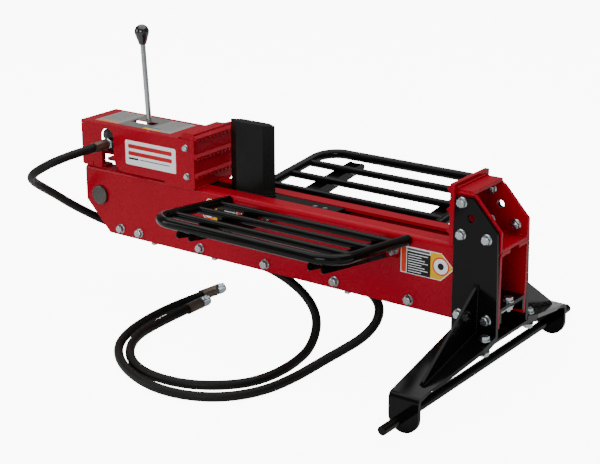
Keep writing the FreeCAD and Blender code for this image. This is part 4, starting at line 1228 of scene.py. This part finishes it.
@dataclass
class Ram:
    """Cylinder, rod, carriage and wedge."""

    def make(self, shop: Shop) -> None:
        """Build the parts that stay with the beam and those that travel.

        Args:
            shop: The shop.
        """
        for node in ("cylinder_base", "cylinder_barrel"):
            refined(shop.nodes, node, BLACK_PAINT, "frame", 0.9)
        refined(shop.nodes, "cylinder_gland", MACHINED, "frame", 0.6)
        refined(shop.nodes, "cylinder_pin", PIN_STEEL, "frame", 1.2)
        refined(shop.nodes, "pin_retainer", BLACK_PAINT, "frame", 0.8)
        for node, finish in (("piston_rod", ROD_CHROME), ("piston", MACHINED), ("piston_seals", SEAL),
                             ("rod_pin", ZINC), ("rod_pin_clips", ZINC), ("carriage_screws", ZINC)):
            refined(shop.nodes, node, finish, "wedge", 0.4)
        refined(shop.nodes, "wedge_carriage", BLACK_PAINT, "wedge", 0.7)
        refined(shop.nodes, "carriage_lugs", BLACK_PAINT, "wedge", 0.7)
        refined(shop.nodes, "wedge_blade", BLADE_PAINT, "wedge", 0.6)
        runs = []
        for s in (side.value for side in Side):
            runs.append([(at(480), s * 15.5, up(177.3)), (at(558), s * 15.5, up(177.3)),
                         (at(590), s * 0.5, up(177.3))])
        shop.welds("blade_welds", runs, "wedge", BLACK_PAINT, 2.0, 9)


@dataclass
class HitchEnd:
    """Legs, gussets, cross channel, tie plate, hitch bar and their bolts."""

    web_inner: float = 58.0
    leg_face: float = 76.0
    high_bolts: tuple[tuple[float, float], ...] = ((1161.6, 283.7), (1161.6, 208.7), (1226.9, 208.7))

    def make(self, shop: Shop) -> None:
        """Build everything that carries the hitch bar.

        Args:
            shop: The shop.
        """
        for node in ("near_leg", "far_leg", "leg_gussets", "cross_channel", "tie_plate", "hitch_bar"):
            refined(shop.nodes, node, BLACK_PAINT, "frame", 0.8)
        spots = [(x, z, side.value) for x, z in self.high_bolts for side in Side]
        heads = [((at(x), s * self.leg_face, up(z)), (0, s, 0)) for x, z, s in spots]
        shop.bolts("leg_bolt_heads", heads, "frame", ["leg_bolts"], grip=34.0, seed=21)
        nuts = [((at(x), s * self.web_inner, up(z)), (0, -s, 0)) for x, z, s in spots]
        shop.bolts("leg_bolt_nuts", nuts, "frame", ["leg_nuts"], seed=22)
        refined(shop.nodes, "tie_bolts", ZINC, "frame", 0.6)
        self.welds(shop)

    def welds(self, shop: Shop) -> None:
        """Lay the gussets' weld runs.

        Args:
            shop: The shop.
        """
        root, tip = 76.0, 350.0
        slope = (48.0 - up(-13)) / (tip - root)
        runs = []
        for s in (side.value for side in Side):
            for x in (1199.8, 1210.2):
                runs.append([(at(x), s * 77, up(95)), (at(x), s * 77, up(-12))])
                foot = up(-13) + slope * (298 - root)
                runs.append([(at(x), s * 78, up(-13)), (at(x), s * 298, foot + 1.5)])
            runs.append([(at(1201), s * 77, up(97)), (at(1209), s * 77, up(97))])
        shop.welds("gusset_welds", runs, "frame", BLACK_PAINT, 2.5, 13)


@dataclass
class LogTrays:
    """Both log trays with their brackets, sockets and bolts."""

    ends: tuple[float, float] = (494.5, 1017.7)
    bars: tuple[float, ...] = (107.5, 193.2, 278.9)
    web: float = 66.0
    reach: float = 298.6
    rise: float = 31.0
    bead_ring: float = 9.8

    def make(self, shop: Shop) -> None:
        """Build the trays and what holds them.

        Args:
            shop: The shop.
        """
        for node in ("near_log_tray", "far_log_tray"):
            refined(shop.nodes, node, BLACK_PAINT, "frame", 0.0)
        refined(shop.nodes, "tray_brackets", BLACK_PAINT, "frame", 0.6)
        refined(shop.nodes, "tray_sockets", RED_PAINT, "frame", 0.6)
        refined(shop.nodes, "socket_bolts", ZINC, "frame", 0.5)
        runs = []
        for s in (side.value for side in Side):
            for x, way in ((self.ends[0], 1), (self.ends[1], -1)):
                for y in self.bars:
                    z = up(165) + self.rise * (y - self.web) / self.reach - 3.2
                    ring = []
                    for k in range(13):
                        angle = math.radians(180.0 * k / 12)
                        ring.append((at(x) + way * 11.0, s * y + self.bead_ring * math.cos(angle),
                                     z + self.bead_ring * math.sin(angle)))
                    runs.append(ring)
        shop.welds("tray_welds", runs, "frame", BLACK_PAINT, 1.9, 17)


@dataclass
class ControlLever:
    """The valve's hand lever with its knob."""

    def make(self, shop: Shop) -> None:
        """Build the lever and its knob.

        Args:
            shop: The shop.
        """
        refined(shop.nodes, "control_lever", LEVER_ZINC, "lever", 0.6)
        knob = refined(shop.nodes, "lever_knob", KNOB, "lever", 0.5)
        smooth(knob.data, 60.0)


@dataclass
class Hose:
    """A hydraulic hose on its route, with a crimped sleeve and a swivel nut at each end."""

    name: str
    route: tuple[Point, ...]
    length: float
    radius: float = 11.5
    sleeve: float = 48.0
    sleeve_radius: float = 14.5
    press: float = 1.5
    collar: float = 5.0
    nut: float = 24.0
    half_flats: float = 13.5

    def ends(self) -> list[tuple[Vector, Vector]]:
        """Both ends of the hose.

        Returns:
            Tip, in millimetres, and outward direction of the valve end and of the free end.
        """
        first, last = Vector(self.route[0]), Vector(self.route[-1])
        return [(first, (first - Vector(self.route[1])).normalized()),
                (last, (last - Vector(self.route[-2])).normalized())]

    def line(self) -> bpy.types.Object:
        """The hose itself, a tube along one spline.

        Returns:
            The tube.
        """
        curve = bpy.data.curves.new(self.name + "_line", "CURVE")
        curve.dimensions = "3D"
        spline = curve.splines.new("NURBS")
        spline.points.add(len(self.route) - 1)
        for point, place in zip(spline.points, self.route):
            point.co = (*metres(place), 1.0)
        spline.order_u = 3
        spline.use_endpoint_u = True
        spline.resolution_u = 8
        curve.bevel_depth = self.radius * MM
        curve.bevel_resolution = 7
        curve.use_fill_caps = True
        curve.materials.append(HOSE.material())
        piece = bpy.data.objects.new(self.name + "_line", curve)
        bpy.context.scene.collection.objects.link(piece)
        return piece

    def sleeve_piece(self, shop: Shop, tag: str, tip: Vector, way: Vector) -> bpy.types.Object:
        """A crimped sleeve that starts at a tip.

        Args:
            shop: The shop.
            tag: Which end it is, for its name.
            tip: Where the hose ends, in millimetres.
            way: Outward direction there.

        Returns:
            The sleeve.
        """
        piece = new_piece(self.name + tag + "_sleeve", bpy.data.meshes.new(self.name + tag), FERRULE)
        shop.ferrule.run(piece, {"Radius": self.sleeve_radius * MM, "Length": self.sleeve * MM,
                                 "Press": self.press * MM, "Material": FERRULE.material()})
        turn = Vector((0, 0, 1)).rotation_difference(way).to_matrix().to_4x4()
        middle = (tip + way * (self.sleeve / 2)) * MM
        piece.data.transform(Matrix.Translation(middle) @ turn)
        smooth(piece.data, 50.0)
        return piece

    def nut_piece(self, tag: str, tip: Vector, way: Vector) -> bpy.types.Object:
        """A swivel nut with its shoulder and its hollow mouth.

        Args:
            tag: Which end it is, for its name.
            tip: Where the hose ends, in millimetres.
            way: Outward direction there.

        Returns:
            The nut.
        """
        build = bmesh.new()
        base = self.sleeve + self.collar
        corner = self.half_flats / math.cos(math.pi / 6)
        rings: list[tuple[float, float, bool]] = [
            (9.2, self.sleeve, False), (9.2, base, False), (11.8, base, False), (13.6, base + 2.2, True),
            (corner, base + 3.6, True), (corner, base + self.nut - 7, True),
            (13.3, base + self.nut - 5.6, True), (12.6, base + self.nut - 5.2, False),
            (12.6, base + self.nut, False), (9.6, base + self.nut, False), (8.4, base + 8, False)]
        sides = 48
        made = []
        for radius, along, hexagonal in rings:
            ring = []
            for k in range(sides):
                angle = 2 * math.pi * k / sides
                reach = radius
                if hexagonal:
                    local = (angle + math.pi / 6) % (math.pi / 3) - math.pi / 6
                    reach = min(radius, self.half_flats / math.cos(local))
                spot = Vector((reach * math.cos(angle), reach * math.sin(angle), along))
                ring.append(build.verts.new(spot * MM))
            made.append(ring)
        for before, after in zip(made, made[1:]):
            for k in range(sides):
                build.faces.new((before[k], before[(k + 1) % sides], after[(k + 1) % sides], after[k]))
        build.faces.new(made[0][::-1])
        build.faces.new(made[-1])
        bmesh.ops.recalc_face_normals(build, faces=build.faces)
        piece = new_piece(self.name + tag + "_nut", mesh_from(build, self.name + tag), FITTING_ZINC)
        turn = Vector((0, 0, 1)).rotation_difference(way).to_matrix().to_4x4()
        piece.data.transform(Matrix.Translation(tip * MM) @ turn)
        smooth(piece.data, 24.0)
        return piece

    def make(self, shop: Shop) -> list[bpy.types.Object]:
        """Args:
            shop: The shop.

        Returns:
            The sleeves and nuts, valve end first.
        """
        line = self.line()
        pieces = []
        for tag, (tip, way) in zip(("_valve_end", "_free_end"), self.ends()):
            for piece in (self.sleeve_piece(shop, tag, tip, way), self.nut_piece(tag, tip, way)):
                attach(piece, "frame")
                LOG.info("%s on frame, %d faces", piece.name, len(piece.data.polygons))
                pieces.append(piece)
        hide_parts(self.name)
        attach(line, "frame")
        LOG.info("%s laid", self.name)
        return pieces


SUPPLY_ROUTE: tuple[Point, ...] = (
    (-1101, -125, 374), (-1101, -168, 374), (-1105, -208, 372), (-1117, -243, 365),
    (-1139, -268, 351), (-1168, -276, 332), (-1197, -263, 311), (-1219, -231, 287),
    (-1231, -187, 259), (-1237, -137, 226), (-1239, -86, 189), (-1230, -36, 154),
    (-1205, 4, 124), (-1162, 24, 109), (-1108, 24, 106), (-1050, 13, 109), (-980, 5, 110),
    (-900, 3, 109), (-800, 5, 111), (-710, 4, 110), (-636, 3, 107), (-572, -2, 93),
    (-516, -5, 69), (-471, -18, 41), (-440, -44, 15), (-420, -84, -8), (-405, -132, -22),
    (-396, -186, -26), (-390, -246, -26), (-394, -308, -26), (-414, -366, -26),
    (-458, -414, -26), (-515, -449, -26), (-584, -463, -26), (-655, -456, -26),
    (-727, -419, -26), (-782, -358, -26), (-813, -288, -26), (-820, -212, -26),
    (-821, -145, -25), (-817, -95, -22.5))
RETURN_ROUTE: tuple[Point, ...] = (
    (-1101, 116, 356), (-1101, 152, 356), (-1100, 190, 340), (-1097, 222, 309),
    (-1092, 241, 266), (-1084, 241, 216), (-1072, 221, 170), (-1054, 184, 133),
    (-1028, 140, 110), (-990, 101, 106), (-940, 68, 106), (-878, 44, 108), (-800, 32, 110),
    (-700, 29, 109), (-600, 31, 111), (-510, 30, 110), (-430, 30, 110), (-360, 25, 108),
    (-302, 4, 98), (-264, -31, 83), (-250, -76, 61), (-262, -120, 37), (-290, -161, 15),
    (-319, -203, -7), (-338, -251, -23), (-346, -306, -26), (-355, -362, -26),
    (-380, -420, -26), (-426, -471, -26), (-490, -501, -26), (-560, -509, -26),
    (-630, -496, -26), (-702, -465, -26), (-767, -418, -26), (-817, -358, -26),
    (-846, -285, -26), (-862, -205, -26), (-867, -125, -26), (-862, -52, -25),
    (-851, 3, -22.5))


@dataclass
class Hoses:
    """Both hoses, the port fittings and the straps under the beam."""

    adapter_flats: float = 24.0

    def make(self, shop: Shop) -> None:
        """Build the hoses and what they screw to.

        Args:
            shop: The shop.
        """
        supply = Hose("supply_hose", SUPPLY_ROUTE, 2.412).make(shop)
        back = Hose("return_hose", RETURN_ROUTE, 2.516).make(shop)
        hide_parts("port_fittings")
        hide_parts("hose_end_fittings")
        spots = [((-1101.0, -48.0, 374.0), (0, 1, 0)), ((-1101.0, 39.0, 356.0), (0, -1, 0))]
        shop.bolts("port_adapters", spots, "frame", [], flats=self.adapter_flats, height=12.0, flange=9.0,
                   grip=14.0, shank=9.0, seed=4, finish=FITTING_ZINC)
        refined(shop.nodes, "hose_hangers", ZINC, "frame", 0.5)
        LOG.info("%d hose ends", len(supply) + len(back))


# --- stage --------------------------------------------------------------------------------
@dataclass
class Studio:
    """Pale floor, soft lights and the camera."""

    azimuth: float = 37.95
    elevation: float = 18.31
    roll: float = -0.8
    distance: float = 3.76646
    target: Point = (-0.689, 0.0, 0.21015)
    lens: float = 88.453
    shift_x: float = 0.08737
    shift_y: float = -0.01333
    floor_height: float = -0.0382
    floor_half: float = 14.0
    floor_depth: float = 0.02
    floor_glow: float = 9.0
    sky: float = 0.22

    def camera(self) -> None:
        """Aim the camera."""
        az, el = math.radians(self.azimuth), math.radians(self.elevation)
        back = Vector((math.sin(az) * math.cos(el), -math.cos(az) * math.cos(el), math.sin(el)))
        right = Vector((math.cos(az), math.sin(az), 0.0))
        top = back.cross(right)
        angle = math.radians(self.roll)
        along = right * math.cos(angle) + top * math.sin(angle)
        above = top * math.cos(angle) - right * math.sin(angle)
        data = bpy.data.cameras.new("camera")
        data.lens = self.lens
        data.sensor_width = 36.0
        data.shift_x = self.shift_x
        data.shift_y = self.shift_y
        data.clip_end = 50.0
        camera = bpy.data.objects.new("camera", data)
        place = Vector(self.target) + back * self.distance
        turn = Matrix((along, above, back)).transposed().to_4x4()
        camera.matrix_world = Matrix.Translation(place) @ turn
        bpy.context.scene.collection.objects.link(camera)
        bpy.context.scene.camera = camera

    def floor(self) -> None:
        """Lay a wide pale floor that glows for the camera alone."""
        build = bmesh.new()
        bottom = self.floor_height - self.floor_depth
        corners = oblong(-self.floor_half, self.floor_half, -self.floor_half, self.floor_half)
        prism(build, [(x, y, bottom) for x, y in corners], Vector((0, 0, self.floor_depth)))
        finish = Ink("studio_floor_paint", "stage", (0.85, 0.85, 0.85), 0.9)
        piece = new_piece("studio_floor", mesh_from(build, "studio_floor"), finish)
        tree = finish.material().node_tree
        shader = next(node for node in tree.nodes if node.type == "BSDF_PRINCIPLED")
        seen = tree.nodes.new("ShaderNodeLightPath")
        glow = tree.nodes.new("ShaderNodeMath")
        glow.operation = "MULTIPLY"
        glow.inputs[1].default_value = self.floor_glow
        tree.links.new(seen.outputs["Is Camera Ray"], glow.inputs[0])
        tree.links.new(glow.outputs[0], shader.inputs["Emission Strength"])
        shader.inputs["Emission Color"].default_value = (1.0, 1.0, 1.0, 1.0)
        shader.inputs["Specular IOR Level"].default_value = 0.0

    def light(self, name: str, place: Point, aim: Point, size: tuple[float, float], power: float) -> None:
        """Hang one soft box.

        Args:
            name: Its name.
            place: Where it hangs.
            aim: What it points at.
            size: Its width and height.
            power: Its power in watts.
        """
        data = bpy.data.lights.new(name, "AREA")
        data.shape = "RECTANGLE"
        data.size, data.size_y = size
        data.energy = power
        lamp = bpy.data.objects.new(name, data)
        lamp.location = place
        lamp.rotation_euler = (Vector(aim) - Vector(place)).to_track_quat("-Z", "Y").to_euler()
        bpy.context.scene.collection.objects.link(lamp)

    def make(self) -> None:
        """Set up the studio."""
        self.camera()
        self.floor()
        world = bpy.data.worlds.new("studio")
        world.use_nodes = True
        background = world.node_tree.nodes.get("Background")
        background.inputs["Color"].default_value = (1.0, 1.0, 1.0, 1.0)
        background.inputs["Strength"].default_value = self.sky
        bpy.context.scene.world = world
        middle = (-0.55, 0.0, 0.2)
        self.light("roof_box", (-0.7, 0.4, 4.2), middle, (6.5, 6.5), 300.0)
        self.light("front_box", (0.6, -4.2, 1.7), middle, (2.2, 1.6), 80.0)
        self.light("left_box", (-3.2, -2.2, 1.3), middle, (1.2, 1.8), 30.0)
        self.light("right_box", (2.6, -1.0, 1.3), middle, (1.0, 1.8), 5.0)


# --- whole --------------------------------------------------------------------------------
def leftover_nodes(shop: Shop, record: dict) -> None:
    """Give every CAD node that still shows the finish of its slot.

    Args:
        shop: The shop.
        record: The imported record.
    """
    slots = {part["node"]: part["material_slot"] for part in record["subparts"]}
    for node, piece in shop.nodes.items():
        if piece.hide_render:
            continue
        finish = FINISH_OF_SLOT[slots[node]]
        for slot in piece.material_slots:
            slot.material = finish.material()
        LOG.info("%s keeps its own shape", node)


def main() -> None:
    """Build the splitter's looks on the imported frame."""
    logging.basicConfig(level=logging.INFO, format="%(name)s: %(message)s")
    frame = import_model()
    Studio().make()
    shop = Shop(frame["nodes"])
    Hoses().make(shop)
    beam = Beam()
    beam.make(shop)
    beam.labels(shop)
    housing = ValveHousing()
    housing.make(shop)
    housing.labels(shop)
    for part in (Feet(), Ram(), HitchEnd(), LogTrays(), ControlLever()):
        part.make(shop)
    leftover_nodes(shop, frame["record"])


if __name__ == "__main__":
    main()
